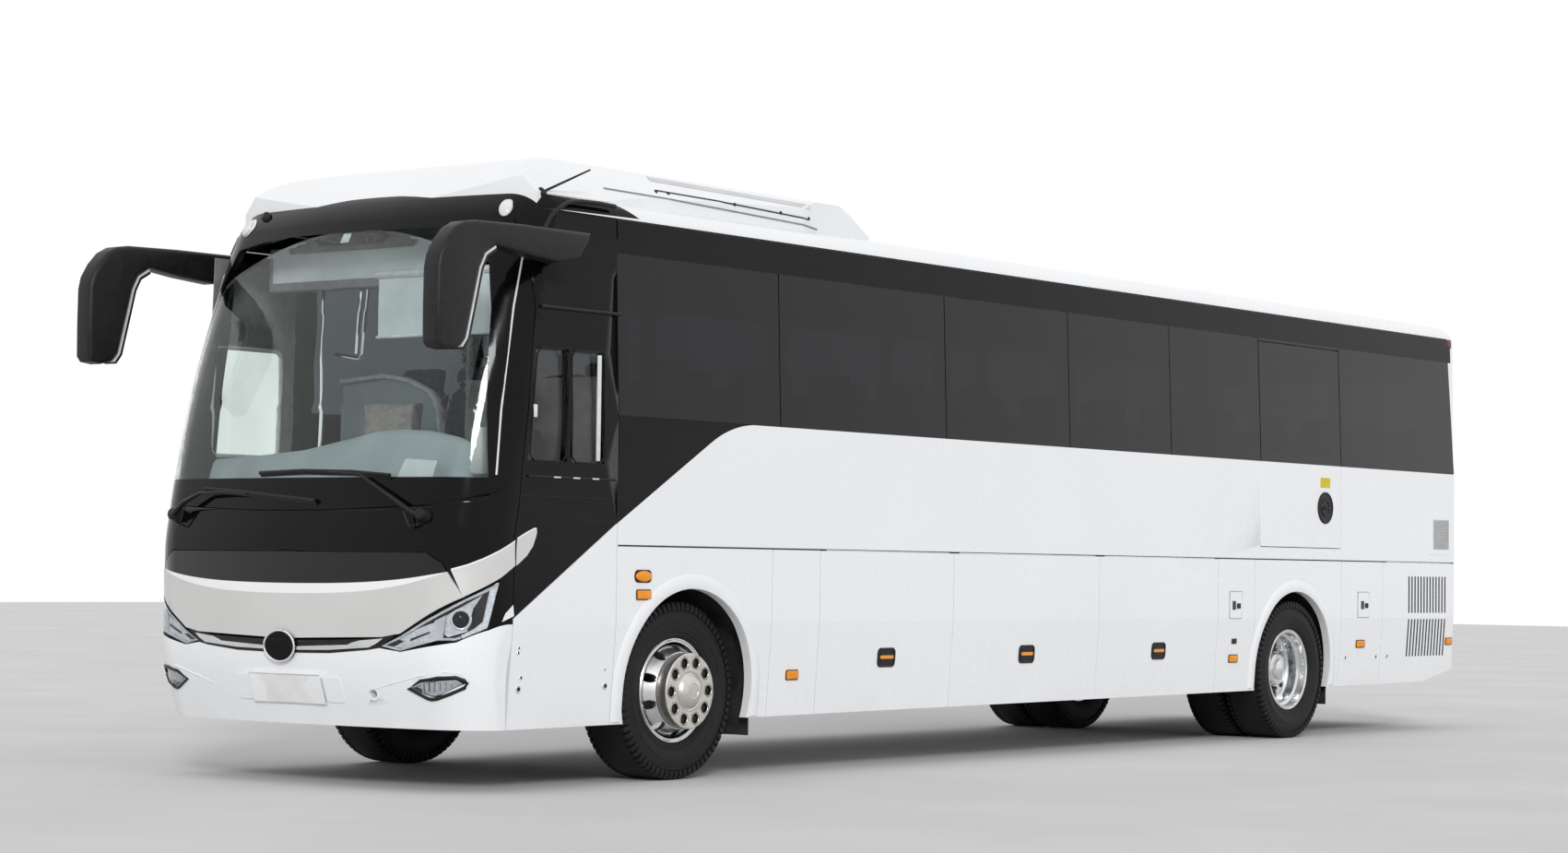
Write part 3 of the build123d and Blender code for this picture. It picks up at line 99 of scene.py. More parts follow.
# %% The recipe helper
class Recipe:
    """Builds one procedural material. Each method adds a node and returns its output."""

    def __init__(self, name, **sockets):
        self.finish = bpy.data.materials.new(name)
        self.finish.use_nodes = True
        self.tree = self.finish.node_tree
        self.shader = self.tree.nodes["Principled BSDF"]
        self.where = self.node("ShaderNodeTexCoord").outputs["Object"]
        for socket, value in sockets.items():
            self.put(socket.replace("_", " "), value)

    def feed(self, target, value):
        if hasattr(value, "is_output"):
            self.tree.links.new(value, target)
        else:
            target.default_value = value

    def put(self, socket, value):
        self.feed(self.shader.inputs[socket], value)

    def node(self, kind, links=(), **settings):
        made = self.tree.nodes.new(kind)
        for name, value in settings.items():
            setattr(made, name, value)
        for socket, value in dict(links).items():
            self.feed(made.inputs[socket], value)
        return made

    def maths(self, operation, *values):
        return self.node("ShaderNodeMath", dict(enumerate(values)), operation=operation).outputs[0]

    def split(self):
        return self.node("ShaderNodeSeparateXYZ", {0: self.where}).outputs

    def cloud(self, scale, detail=3.0):
        return self.node("ShaderNodeTexNoise",
                         {"Vector": self.where, "Scale": scale, "Detail": detail}).outputs["Fac"]

    def spread(self, factor, low, high, onto=(0.0, 1.0)):
        return self.node("ShaderNodeMapRange", {"Value": factor, "From Min": low, "From Max": high,
                                                "To Min": onto[0], "To Max": onto[1]}).outputs[0]

    def blend(self, factor, one, other):
        one, other = (c if hasattr(c, "is_output") else (*c, 1.0) for c in (one, other))
        return self.node("ShaderNodeMix", {0: factor, 6: one, 7: other}, data_type="RGBA").outputs[2]

    def shades(self, wide, one, other):
        """A drift between two near shades over a wide cloud."""
        self.put("Base Color", self.blend(self.spread(wide, 0.35, 0.65), one, other))

    def grain(self, height, strength, distance):
        self.put("Normal", self.node("ShaderNodeBump", {"Height": height, "Strength": strength,
                                                        "Distance": distance}).outputs[0])


def mottled(name, one, other, rough, scale=6.0, grain=(180.0, 0.08, 0.0006), drift=0.04, **sockets):
    """A finish that wanders between two near shades, with a fine grain of its own."""
    recipe = Recipe(name, **sockets)
    wide = recipe.cloud(scale)
    recipe.shades(wide, one, other)
    recipe.put("Roughness", recipe.spread(wide, 0.3, 0.7, (rough - drift, rough + drift)))
    recipe.grain(recipe.cloud(grain[0]), *grain[1:])
    return recipe.finish


def dress(finish, *names):
    """Gives CAD nodes or pieces one material in every slot."""
    for name in names:
        piece = NODES[name] if isinstance(name, str) else name
        piece.data.materials.clear()
        piece.data.materials.append(finish)


# %% Body finishes
def coach_white():
    recipe = Recipe("coach_white", Coat_Weight=0.2, Coat_Roughness=0.08, Specular_IOR_Level=0.35)
    low = recipe.spread(recipe.split()[2], 0.32, 0.62, (1.0, 0.0))
    film = recipe.maths("MULTIPLY", low, recipe.spread(recipe.cloud(3.0, 6.0), 0.45, 0.75))
    clean = recipe.blend(recipe.spread(recipe.cloud(0.8), 0.35, 0.65),
                         (0.83, 0.845, 0.87), (0.85, 0.862, 0.885))
    recipe.put("Base Color", recipe.blend(recipe.maths("MULTIPLY", film, 0.2), clean, (0.60, 0.58, 0.54)))
    recipe.put("Roughness", recipe.spread(recipe.cloud(12.0), 0.3, 0.7, (0.22, 0.30)))
    recipe.grain(recipe.cloud(6.0, 2.0), 0.02, 0.0003)
    return recipe.finish


WHITE = coach_white()
BLACK = mottled("gloss_black", (0.002, 0.002, 0.003), (0.0035, 0.0035, 0.0045), 0.10, 2.0,
                (340.0, 0.01, 0.0002), 0.02, Coat_Weight=0.04, Coat_Roughness=0.04, Specular_IOR_Level=0.13)
MATT = mottled("matt_black", (0.006, 0.006, 0.0065), (0.011, 0.011, 0.0115), 0.45, 30.0,
               (700.0, 0.25, 0.0005), Specular_IOR_Level=0.3)
DARK = mottled("dark_grey_plastic", (0.035, 0.036, 0.038), (0.055, 0.056, 0.058), 0.6, 20.0,
               (600.0, 0.3, 0.0005))
GREY = mottled("grey_plastic", (0.20, 0.205, 0.21), (0.26, 0.265, 0.27), 0.55, 14.0, (600.0, 0.3, 0.0005))
LINER = mottled("wheel_well_coating", (0.010, 0.010, 0.010), (0.030, 0.028, 0.026), 0.85, 12.0,
                (260.0, 0.6, 0.002))
CHASSIS = mottled("chassis_paint", (0.020, 0.020, 0.021), (0.040, 0.038, 0.036), 0.6, 9.0,
                  (200.0, 0.35, 0.001))
FLOORING = mottled("floor_vinyl", (0.10, 0.11, 0.12), (0.16, 0.165, 0.175), 0.6, 120.0, (500.0, 0.3, 0.0005))
SHEET = mottled("sheet_aluminium", (0.55, 0.56, 0.57), (0.66, 0.67, 0.68), 0.38, 16.0, (420.0, 0.15, 0.0004),
                Metallic=1.0)
IRON = mottled("cast_iron", (0.06, 0.057, 0.054), (0.10, 0.095, 0.09), 0.6, 25.0, (240.0, 0.5, 0.0015),
               Metallic=0.6)
RUBBER = mottled("tyre_rubber", (0.0045, 0.0045, 0.005), (0.009, 0.0088, 0.0085), 0.62, 14.0,
                 (300.0, 0.35, 0.0008), Specular_IOR_Level=0.3)
CHROME = mottled("bright_chrome", (0.78, 0.79, 0.80), (0.86, 0.87, 0.88), 0.09, 9.0, (500.0, 0.03, 0.0002),
                 0.03, Metallic=1.0)
DISH = mottled("polished_wheel", (0.66, 0.67, 0.68), (0.76, 0.77, 0.78), 0.22, 18.0, (240.0, 0.08, 0.0004),
               0.06, Metallic=1.0)
HUB = mottled("satin_hub", (0.60, 0.57, 0.53), (0.70, 0.67, 0.63), 0.34, 18.0, (400.0, 0.12, 0.0004),
              0.05, Metallic=1.0)
SILVER = mottled("silver_paint", (0.63, 0.625, 0.62), (0.67, 0.665, 0.66), 0.30, 2.0, (900.0, 0.10, 0.0004),
                 0.03, Metallic=0.35, Coat_Weight=0.7, Coat_Roughness=0.04)
RED = mottled("red_lens", (0.35, 0.006, 0.006), (0.45, 0.012, 0.010), 0.12, 10.0, (300.0, 0.15, 0.0008),
              0.03, Coat_Weight=0.6)
AMBER = mottled("amber_lens", (0.82, 0.26, 0.004), (0.90, 0.32, 0.008), 0.14, 10.0, (300.0, 0.15, 0.0008),
                0.03, Coat_Weight=0.2, Specular_IOR_Level=0.3)
SEAT = mottled("seat_fabric", (0.05, 0.06, 0.09), (0.09, 0.10, 0.14), 0.85, 60.0, (900.0, 0.5, 0.0008))
COVER_CLOTH = mottled("covered_seat", (0.33, 0.29, 0.28), (0.43, 0.39, 0.37), 0.5, 22.0, (90.0, 0.6, 0.006))
# The dashboard skin's pale grey-blue is partly its own grey and partly a painted reflection of the sky on the
# windscreen.
DASH_GREY_AND_SKY_TINT = mottled("dashboard_skin_and_painted_reflection", (0.36, 0.41, 0.44), (0.42, 0.47, 0.50), 0.5, 5.0, (900.0, 0.3, 0.0004))
BLIND = mottled("blind_cloth", (0.66, 0.70, 0.74), (0.74, 0.77, 0.80), 0.8, 7.0, (700.0, 0.4, 0.0004))


def pane_finish(name, tint, rough=0.02, ior=1.33, **sockets):
    """Clear or tinted glass: light passes and takes the tint, with a faint waviness."""
    recipe = Recipe(name, Transmission_Weight=1.0, IOR=ior, **sockets)
    recipe.shades(recipe.cloud(1.5), tint, tuple(c * 0.92 for c in tint))
    recipe.put("Roughness", recipe.spread(recipe.cloud(3.0), 0.3, 0.7, (rough * 0.5, rough)))
    recipe.grain(recipe.cloud(1.3, 1.0), 0.02, 0.002)
    return recipe.finish


CLEAR = pane_finish("windscreen_glass", (0.86, 0.92, 0.90))
TINTED = pane_finish("tinted_glass", (0.062, 0.070, 0.082), ior=1.36)
LIGHT_TINT = pane_finish("driver_glass", (0.66, 0.66, 0.63), ior=1.30)
LENS = pane_finish("lamp_lens", (0.93, 0.95, 0.97))

# %% [markdown]
# ## Finishes for the CAD nodes
# Most nodes already have the right shape, so they only need the right paint.

# %% Dress the nodes
NODE_FINISH = {
    WHITE: ("front_bumper", "lower_panels", "side_panels", "roof", "roof_pod", "rear_wall", "engine_lid",
            "left_engine_door", "right_engine_door", "emergency_door",
            *(f"{side}_luggage_flap_{n}" for side in ("left", "right") for n in (1, 2, 3))),
    BLACK: ("front_flap", "front_mask", "front_cap", "window_bands", "entrance_door"),
    CLEAR: ("windscreen",),
    TINTED: ("tinted_glass", "emergency_glass"),
    LENS: ("headlights",),
    RED: ("rear_lamps",),
    AMBER: ("amber_lamps",),
    MATT: ("mirrors", "wipers"),
    LINER: ("wheel_liners",),
    GREY: ("dashboard", "partition"),
    DARK: ("steering_wheel",),
    SEAT: ("seats",),
    CHASSIS: ("chassis_frames", "axles", "left_knuckle", "right_knuckle"),
    SHEET: ("luggage_deck",),
    FLOORING: ("cabin_floor",),
    IRON: ("engine",),
    DISH: ("front_left_rim", "front_right_rim", "rear_left_rims", "rear_right_rims"),
    RUBBER: ("front_left_tyre", "front_right_tyre", "rear_left_tyres", "rear_right_tyres"),
}
for finish, names in NODE_FINISH.items():
    dress(finish, *names)
print("dressed", sum(len(names) for names in NODE_FINISH.values()), "nodes")

# %% [markdown]
# ## Smoothing the nose
# The CAD nose is a stack of slabs, each leaning a little more than the one below, so a
# crease shows at each joint. A copy of each front piece is cut into thin level rings, and
# every ring is moved to a smooth curve through the same heights. The move fades out
# behind the corners, so the copies still meet their neighbours.

# %% Nose curve
FRONT, REAR, HALF = -5.860, 6.160, 1.275
NOSE_HEIGHTS = (0.275, 0.780, 1.280, 1.540, 2.080, 2.620, 3.150, 3.290, 3.420)
NOSE_BACK = (0.142, 0.0, 0.0, 0.035, 0.148, 0.314, 0.530, 0.660, 0.980)
RING = 0.05
MERGE = 0.00002


def steady_slopes(xs, ys):
    """Slopes for a smooth curve through points that never swings past them."""
    steps = [(ys[i + 1] - ys[i]) / (xs[i + 1] - xs[i]) for i in range(len(xs) - 1)]
    slopes = [steps[0]]
    for before, after in zip(steps, steps[1:]):
        slopes.append(0.0 if before * after <= 0 else 2 * before * after / (before + after))
    return slopes + [steps[-1]]


NOSE_SLOPES = steady_slopes(NOSE_HEIGHTS, NOSE_BACK)


def nose_shift(height):
    """How far the smooth curve lies from the slab's straight line at one height."""
    if not NOSE_HEIGHTS[0] < height < NOSE_HEIGHTS[-1]:
        return 0.0
    i = max(k for k, z in enumerate(NOSE_HEIGHTS[:-1]) if z <= height)
    span = NOSE_HEIGHTS[i + 1] - NOSE_HEIGHTS[i]
    t = (height - NOSE_HEIGHTS[i]) / span
    low, high = NOSE_BACK[i], NOSE_BACK[i + 1]
    curve = ((1 + 2 * t) * (1 - t) ** 2 * low + t * (1 - t) ** 2 * span * NOSE_SLOPES[i]
             + t * t * (3 - 2 * t) * high - t * t * (1 - t) * span * NOSE_SLOPES[i + 1])
    return curve - (low + (high - low) * t)


def nose_weight(y):
    t = min(max((y - (FRONT + 0.469)) / 0.60, 0.0), 1.0)
    return 1.0 - t * t * (3 - 2 * t)


def merged_copy(node, name):
    """A copy of a CAD node with its loose triangles joined."""
    copy = placed(name, NODES[node].data.copy())
    mesh = bmesh.new()
    mesh.from_mesh(copy.data)
    bmesh.ops.remove_doubles(mesh, verts=mesh.verts, dist=MERGE)
    mesh.to_mesh(copy.data)
    mesh.free()
    return copy


def soften(piece, angle=28.0):
    piece.data.shade_smooth()
    piece.data.set_sharp_from_angle(angle=math.radians(angle))


def smoothed(node):
    """The node's stand-in on the smooth nose curve."""
    copy = merged_copy(node, "smooth_" + node)
    mesh = bmesh.new()
    mesh.from_mesh(copy.data)
    low = min(v.co.z for v in mesh.verts)
    high = max(v.co.z for v in mesh.verts)
    level_at = math.ceil(low / RING) * RING
    while level_at < high:
        nearby = [f for f in mesh.faces if f.calc_center_median().y < FRONT + 1.3]
        edges = {e for f in nearby for e in f.edges}
        verts = {v for f in nearby for v in f.verts}
        bmesh.ops.bisect_plane(mesh, geom=[*verts, *edges, *nearby], plane_co=(0, 0, level_at),
                               plane_no=(0, 0, 1), dist=1e-6)
        level_at += RING
    for v in mesh.verts:
        v.co.y += nose_shift(v.co.z) * nose_weight(v.co.y)
    mesh.to_mesh(copy.data)
    mesh.free()
    soften(copy)
    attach(copy, body_with(node))
    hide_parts(node)
    return copy


def body_with(node):
    for body, members in frame["record"]["behaviour"]["bodies"].items():
        if node in members:
            return body
    raise KeyError(node)


# %% Smooth the nose pieces
SMOOTH = {node: smoothed(node) for node in ("front_bumper", "front_flap", "front_mask", "front_cap",
                                            "windscreen", "headlights", "side_panels", "window_bands")}
print("smooth copies:", {name: len(piece.data.polygons) for name, piece in SMOOTH.items()})

# %% [markdown]
# ## A ruler for the body's skin
# Trim and lamps have to sit on a skin that bows across the front, turns round two corners
# and leans in at the top and the bottom. One function walks along the body's plan from
# the middle of the nose and answers with the point on the skin, so every small piece can
# be drawn flat, as distance along and height, and then laid on.

# %% Skin of the nose and the flanks
BOW, CORNER = 5.8, 0.38
CORNER_X, TIP_TO_FLAT = HALF - CORNER, 0.4544
BOW_END, CORNER_END, CORNER_START = 0.9621, 1.4960, 0.1658
SIDE_LEAN = ((0.335, 1.235), (0.900, 1.275), (2.060, 1.275), (3.170, 1.235), (3.240, 1.232))


def read_table(table, at):
    for (a, low), (b, high) in zip(table, table[1:]):
        if at <= b:
            return low + (high - low) * max(at - a, 0.0) / (b - a)
    return table[-1][1]


def side_x(z):
    return read_table(SIDE_LEAN, z)


def skin(along, z, proud=0.0):
    """A point of the nose or flank: metres along the plan from the nose's middle, and height."""
    tip = FRONT + read_table(tuple(zip(NOSE_HEIGHTS, NOSE_BACK)), z)
    s = abs(along)
    if s < BOW_END:
        turn = s / BOW
        x, y = BOW * math.sin(turn), tip + BOW * (1 - math.cos(turn))
    elif s < CORNER_END:
        turn = CORNER_START + (s - BOW_END) / CORNER
        x, y = CORNER_X + CORNER * math.sin(turn), tip + TIP_TO_FLAT - CORNER * math.cos(turn)
    else:
        turn = math.pi / 2
        x, y = HALF, tip + TIP_TO_FLAT + s - CORNER_END
    x = min(x, side_x(z)) + math.sin(turn) * proud
    y += nose_shift(z) * nose_weight(y) - math.cos(turn) * proud
    return Vector((math.copysign(x, along), y, z))


def flank(y, z, proud=0.0):
    """A point of the left side by its place along the coach and its height."""
    return Vector((side_x(z) + proud, y, z))


def far_flank(y, z, proud=0.0):
    return Vector((-side_x(z) - proud, y, z))


SIDES = (("left", 1, flank), ("right", -1, far_flank))
print("skin at the near headlamp:", [round(c, 3) for c in skin(1.196, 0.926)])

# %% Makers of small pieces
def made(name, mesh, finishes, body="body", angle=30.0):
    """A finished piece from a bmesh: joined, outward, smooth and riding on its body."""
    bmesh.ops.remove_doubles(mesh, verts=mesh.verts, dist=MERGE)
    bmesh.ops.recalc_face_normals(mesh, faces=mesh.faces)
    data = bpy.data.meshes.new(name)
    mesh.to_mesh(data)
    mesh.free()
    piece = placed(name, data)
    for finish in finishes if isinstance(finishes, (list, tuple)) else [finishes]:
        data.materials.append(finish)
    soften(piece, angle)
    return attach(piece, body)


def poured(mesh, part, slot=0, where=None):
    """Moves a part into a bmesh, its points by a rule if there is one, and frees the part."""
    twins = {v: mesh.verts.new(where(v.co) if where else v.co) for v in part.verts}
    for face in part.faces:
        mesh.faces.new([twins[v] for v in face.verts]).material_index = slot
    part.free()


def grown(part, faces, axis, at):
    """Extrudes faces and puts the new points at one value of an axis."""
    for v in bmesh.ops.extrude_face_region(part, geom=faces)["geom"]:
        if isinstance(v, bmesh.types.BMVert):
            v.co[axis] = at


def bridge(mesh, rings, wrap=True, caps=True, slot=0):
    """Adds faces from each ring of points to the next, and over both ends."""
    for one, two in zip(rings, rings[1:]):
        count = len(one)
        for k in range(count if wrap else count - 1):
            m = (k + 1) % count
            mesh.faces.new((one[k], one[m], two[m], two[k])).material_index = slot
    for ring in (rings[0], rings[-1]) if caps else ():
        mesh.faces.new(ring).material_index = slot


def lay(mesh, outline, proud, deep, place=skin, step=0.04, slot=0):
    """Adds a flat outline, laid on the skin and given a thickness, to a bmesh."""
    sheet = bmesh.new()
    ring = [sheet.verts.new((s, z, 0.0)) for s, z in outline]
    for corners in tessellate_polygon([[v.co for v in ring]]):
        sheet.faces.new([ring[i] for i in corners])
    for axis, way in ((0, (1, 0, 0)), (1, (0, 1, 0))):
        low, high = min(p[axis] for p in outline), max(p[axis] for p in outline)
        for k in range(math.ceil(low / step), math.floor(high / step) + 1):
            at = [0.0, 0.0, 0.0]
            at[axis] = k * step
            bmesh.ops.bisect_plane(sheet, geom=sheet.verts[:] + sheet.edges[:] + sheet.faces[:],
                                   plane_co=at, plane_no=way, dist=1e-6)
    grown(sheet, sheet.faces[:], 2, 1.0)
    poured(mesh, sheet, slot, lambda p: place(p.x, p.y, proud - deep * p.z))


def laid(name, outlines, proud, deep, finish, body="body", place=skin, step=0.04, both=False):
    """A piece of one or more laid outlines, on one side of the nose or both."""
    mesh = bmesh.new()
    for outline in outlines:
        lay(mesh, outline, proud, deep, place, step)
        if both:
            lay(mesh, [(-s, z) for s, z in outline], proud, deep, place, step)
    return made(name, mesh, finish, body)


def add_tube(mesh, points, radius, sides=10, flat=1.0, slot=0, closed=False):
    """Adds a round or flattened bar that follows points."""
    rings = []
    count = len(points)
    for n, point in enumerate(points):
        before = points[n - 1] if n or closed else point
        after = points[(n + 1) % count] if n < count - 1 or closed else point
        way = (after - before).normalized()
        side = way.cross(Vector((0, 0, 1)))
        side = side.normalized() if side.length > 1e-3 else Vector((1, 0, 0))
        over_way = side.cross(way)
        r = radius[n] if isinstance(radius, (list, tuple)) else radius
        rings.append([mesh.verts.new(point + side * r * math.cos(a) + over_way * r * flat * math.sin(a))
                      for a in (2 * math.pi * k / sides for k in range(sides))])
    bridge(mesh, rings + (rings[:1] if closed else []), caps=not closed, slot=slot)


def add_turned(mesh, profile, centre, axis, steps=32, slot=0, slots=None):
    """Adds a turned form from rows of distance along the axis and radius."""
    axis = Vector(axis).normalized()
    side = axis.cross(Vector((0, 0, 1)))
    side = side.normalized() if side.length > 1e-3 else Vector((1, 0, 0))
    other = axis.cross(side)
    rings = []
    for along, r in profile:
        centre_here = Vector(centre) + axis * along
        if r < 1e-6:
            rings.append([mesh.verts.new(centre_here)])
        else:
            rings.append([mesh.verts.new(centre_here + side * r * math.cos(a) + other * r * math.sin(a))
                          for a in (2 * math.pi * k / steps for k in range(steps))])
    for n, (one, two) in enumerate(zip(rings, rings[1:])):
        index = slots[n] if slots else slot
        for k in range(steps):
            corners = ((one, k), (one, k + 1), (two, k + 1), (two, k))
            ring = list(dict.fromkeys(points[at % len(points)] for points, at in corners))
            if len(ring) > 2:
                mesh.faces.new(ring).material_index = index


def add_block(mesh, low, high, round_r=0.0, slot=0):
    """Adds a box between two corners, with rounded edges if asked."""
    part = bmesh.new()
    bmesh.ops.create_cube(part, size=1.0)
    low, high = Vector(low), Vector(high)
    for v in part.verts:
        v.co = Vector(((v.co[i] + 0.5) * (high[i] - low[i]) + low[i] for i in range(3)))
    if round_r:
        bmesh.ops.bevel(part, geom=part.edges[:], offset=round_r, segments=3, affect="EDGES", profile=0.5)
    poured(mesh, part, slot)


def nose_rods(name, rows, proud, radius, finish, body="body", both=True, **shape):
    """A bar along the skin of the nose, on one side or both."""
    mesh = bmesh.new()
    for side in (1, -1) if both else (1,):
        add_tube(mesh, [skin(s * side, z, proud) for s, z in rows], radius, **shape)
    return made(name, mesh, finish, body)


def rods(name, finish, *rows):
    """A piece of straight or bent bars: points, radius, and the other settings of a tube."""
    mesh = bmesh.new()
    for points, *shape in rows:
        add_tube(mesh, [Vector(p) for p in points], *shape)
    return made(name, mesh, finish)


def blocks(name, finish, *rows):
    """A piece of blocks: low corner, high corner, rounding."""
    mesh = bmesh.new()
    for row in rows:
        add_block(mesh, *row)
    return made(name, mesh, finish)


# %% [markdown]
# ## Repeating with Geometry Nodes
# Tread blocks, grille slats and louvres are one small form repeated. One node tree
# does it: it puts points in a line or round an axis, sets the form on each, and makes the
# copies real so that they export.

# %% The repeater
REPEATER_INPUTS = {"Piece": "Object", "Count": "Int", "Start": "Vector", "Step": "Vector", "Turn": "Float",
                   "Finish": "Material"}


def repeater():
    tree = bpy.data.node_groups.new("repeater", "GeometryNodeTree")
    for name, kind in REPEATER_INPUTS.items():
        tree.interface.new_socket(name, in_out="INPUT", socket_type="NodeSocket" + kind)
    tree.interface.new_socket("Geometry", in_out="OUTPUT", socket_type="NodeSocketGeometry")
    inputs = tree.nodes.new("NodeGroupInput").outputs

    def add(kind, operation=None, **links):
        """A node fed by socket name, or by number after an underscore. Gives its first output."""
        made = tree.nodes.new(kind)
        if operation:
            made.operation = operation
        for socket, source in links.items():
            tree.links.new(source, made.inputs[int(socket[1:]) if socket[0] == "_" else socket])
        return made.outputs[0] if made.outputs else made

    number = add("GeometryNodeInputIndex")
    along = add("ShaderNodeVectorMath", "MULTIPLY_ADD", _0=inputs["Step"], _1=number, _2=inputs["Start"])
    angle = add("ShaderNodeMath", "MULTIPLY", _0=number, _1=inputs["Turn"])
    spin = add("ShaderNodeCombineXYZ", X=angle)
    points = add("GeometryNodePoints", Count=inputs["Count"], Position=along)
    form = tree.nodes.new("GeometryNodeObjectInfo")
    tree.links.new(inputs["Piece"], form.inputs["Object"])
    copies = add("GeometryNodeInstanceOnPoints", Points=points, Instance=form.outputs["Geometry"],
                 Rotation=spin)
    real = add("GeometryNodeRealizeInstances", _0=copies)
    coat = add("GeometryNodeSetMaterial", Geometry=real, Material=inputs["Finish"])
    add("NodeGroupOutput", _0=coat)
    return tree


REPEATER = repeater()


def settled(piece):
    """The mesh of a piece with its modifiers done."""
    return bpy.data.meshes.new_from_object(piece.evaluated_get(bpy.context.evaluated_depsgraph_get()))


def repeated(name, form, count, finish, body="body", start=(0, 0, 0), step=(0, 0, 0), turn=0.0, angle=30.0):
    """Copies of one bmesh form in a line or round the X axis, as one plain piece."""
    seed_data = bpy.data.meshes.new(name + "_form")
    bmesh.ops.recalc_face_normals(form, faces=form.faces)
    form.to_mesh(seed_data)
    form.free()
    seed = placed(name + "_form", seed_data)
    holder = placed(name + "_points", bpy.data.meshes.new(name + "_points"))
    nodes = holder.modifiers.new("repeat", "NODES")
    nodes.node_group = REPEATER
    values = {"Piece": seed, "Count": count, "Start": start, "Step": step, "Turn": turn, "Finish": finish}
    for item in REPEATER.interface.items_tree:
        if item.item_type == "SOCKET" and item.in_out == "INPUT":
            nodes[item.identifier] = values[item.name]
    bpy.context.view_layer.update()
    data = settled(holder)
    data.name = name
    piece = placed(name, data)
    for thing in (seed, holder):
        bpy.data.objects.remove(thing)
    if not data.materials:
        data.materials.append(finish)
    soften(piece, angle)
    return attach(piece, body)


print("repeater inputs:", list(REPEATER_INPUTS))

# %% [markdown]
# ## Paint and trim on the nose
# The front flap is gloss black above and silver below, with a white stripe between that
# runs out to nothing at the corners. The two curves are written into the flap's own paint.
# Past the flap's edge the silver goes on as a separate band and ends in a fin on the side.
# A thin white strip along the upper edge of the band and of the fin is a painted highlight.

# %% Flap paint
def flap_paint():
    recipe = Recipe("flap_paint", Coat_Weight=0.25, Coat_Roughness=0.04, Specular_IOR_Level=0.25)
    x, _, z = recipe.split()
    square = recipe.maths("MULTIPLY", x, x)
    fourth = recipe.maths("MULTIPLY", square, square)
    above = []
    for foot, second, fourth_part in ((1.106, 0.0235, 0.0297), (1.051, 0.040, 0.0525)):
        low_part = recipe.maths("MULTIPLY_ADD", square, second, foot)
        rise = recipe.maths("SUBTRACT", z, recipe.maths("MULTIPLY_ADD", fourth, fourth_part, low_part))
        above.append(recipe.spread(rise, -0.0012, 0.0012))
    dull = recipe.blend(recipe.spread(recipe.cloud(2.0), 0.35, 0.65),
                        (0.575, 0.57, 0.565), (0.615, 0.61, 0.605))
    pale = recipe.blend(above[1], dull, (0.86, 0.865, 0.87))
    recipe.put("Base Color", recipe.blend(above[0], pale, (0.002, 0.002, 0.003)))
    recipe.put("Roughness", recipe.spread(above[0], 0.0, 1.0, (0.34, 0.09)))
    recipe.grain(recipe.cloud(900.0), 0.03, 0.0002)
    return recipe.finish


dress(flap_paint(), SMOOTH["front_flap"])

BAND_UPPER = ((1.139, 1.187), (1.226, 1.212), (1.315, 1.247), (1.412, 1.291), (1.516, 1.344))
BAND_LOWER = ((1.205, 1.046), (1.318, 1.100), (1.416, 1.149), (1.485, 1.193), (1.523, 1.216))
FIN = ((1.531, 1.357), (1.597, 1.389), (1.659, 1.414), (1.676, 1.412), (1.682, 1.400), (1.679, 1.377),
       (1.661, 1.323), (1.615, 1.270), (1.543, 1.222), (1.531, 1.216))
# The white strips on the upper edges of the band and the fin are painted highlights.
HIGHLIGHT_WIDE = 0.009


def highlight_strip_of(line):
    return tuple(line) + tuple((s, z + HIGHLIGHT_WIDE) for s, z in line[::-1])


for name, outline, proud, finish in (
        ("nose_band", BAND_UPPER + BAND_LOWER[::-1], 0.0012, SILVER), ("nose_fin", FIN, 0.0012, SILVER),
        ("nose_band_edge", highlight_strip_of(BAND_UPPER), 0.0014, WHITE),
        ("nose_fin_edge", highlight_strip_of(FIN[:4]), 0.0014, WHITE)):
    laid(name, [outline], proud, 0.004, finish, both=True)

# %% [markdown]
# ## Slot, bright bars and badge seat
# Under the flap a black slot crosses the nose. Two bright bars lie in it, one each side of
# a round boss with a bright rim, which is plain here.

# %% Bars and boss
SLOT = ((-0.811, 0.842), (-0.701, 0.766), (-0.626, 0.754), (-0.359, 0.731), (-0.131, 0.727), (0.131, 0.727),
        (0.359, 0.731), (0.626, 0.754), (0.701, 0.766), (0.811, 0.842), (0.700, 0.822), (0.584, 0.811),
        (0.346, 0.801), (0.119, 0.796), (-0.119, 0.796), (-0.346, 0.801), (-0.584, 0.811), (-0.700, 0.822))
BAR = ((0.112, 0.762), (0.493, 0.779), (0.520, 0.790), (0.570, 0.803), (0.734, 0.818), (0.690, 0.790),
       (0.640, 0.768), (0.355, 0.748), (0.112, 0.743))
BOSS = (0.117, 0.085)
laid("nose_slot", [SLOT], 0.0016, 0.006, MATT)
laid("nose_bars", [BAR], 0.009, 0.012, CHROME, both=True)


def oval(half_s, half_z, centre=(0.0, 0.762), count=40):
    return [(centre[0] + half_s * math.cos(2 * math.pi * k / count),
             centre[1] + half_z * math.sin(2 * math.pi * k / count)) for k in range(count)]


laid("nose_boss", [oval(*BOSS)], 0.019, 0.022, BLACK, body="front_flap_body", step=0.2)
nose_rods("nose_boss_rim", oval(*BOSS), 0.020, 0.0065, CHROME, "front_flap_body", both=False, closed=True)

# %% [markdown]
# ## Headlamps
# Each lamp is a clear cover over a dark housing. Inside are a silver pointed compartment,
# a pale divider, a projector in a bright ring, and a row of daytime lights along the outer
# edge. The cover is laid on the skin, and the inside sits a few centimetres behind it.

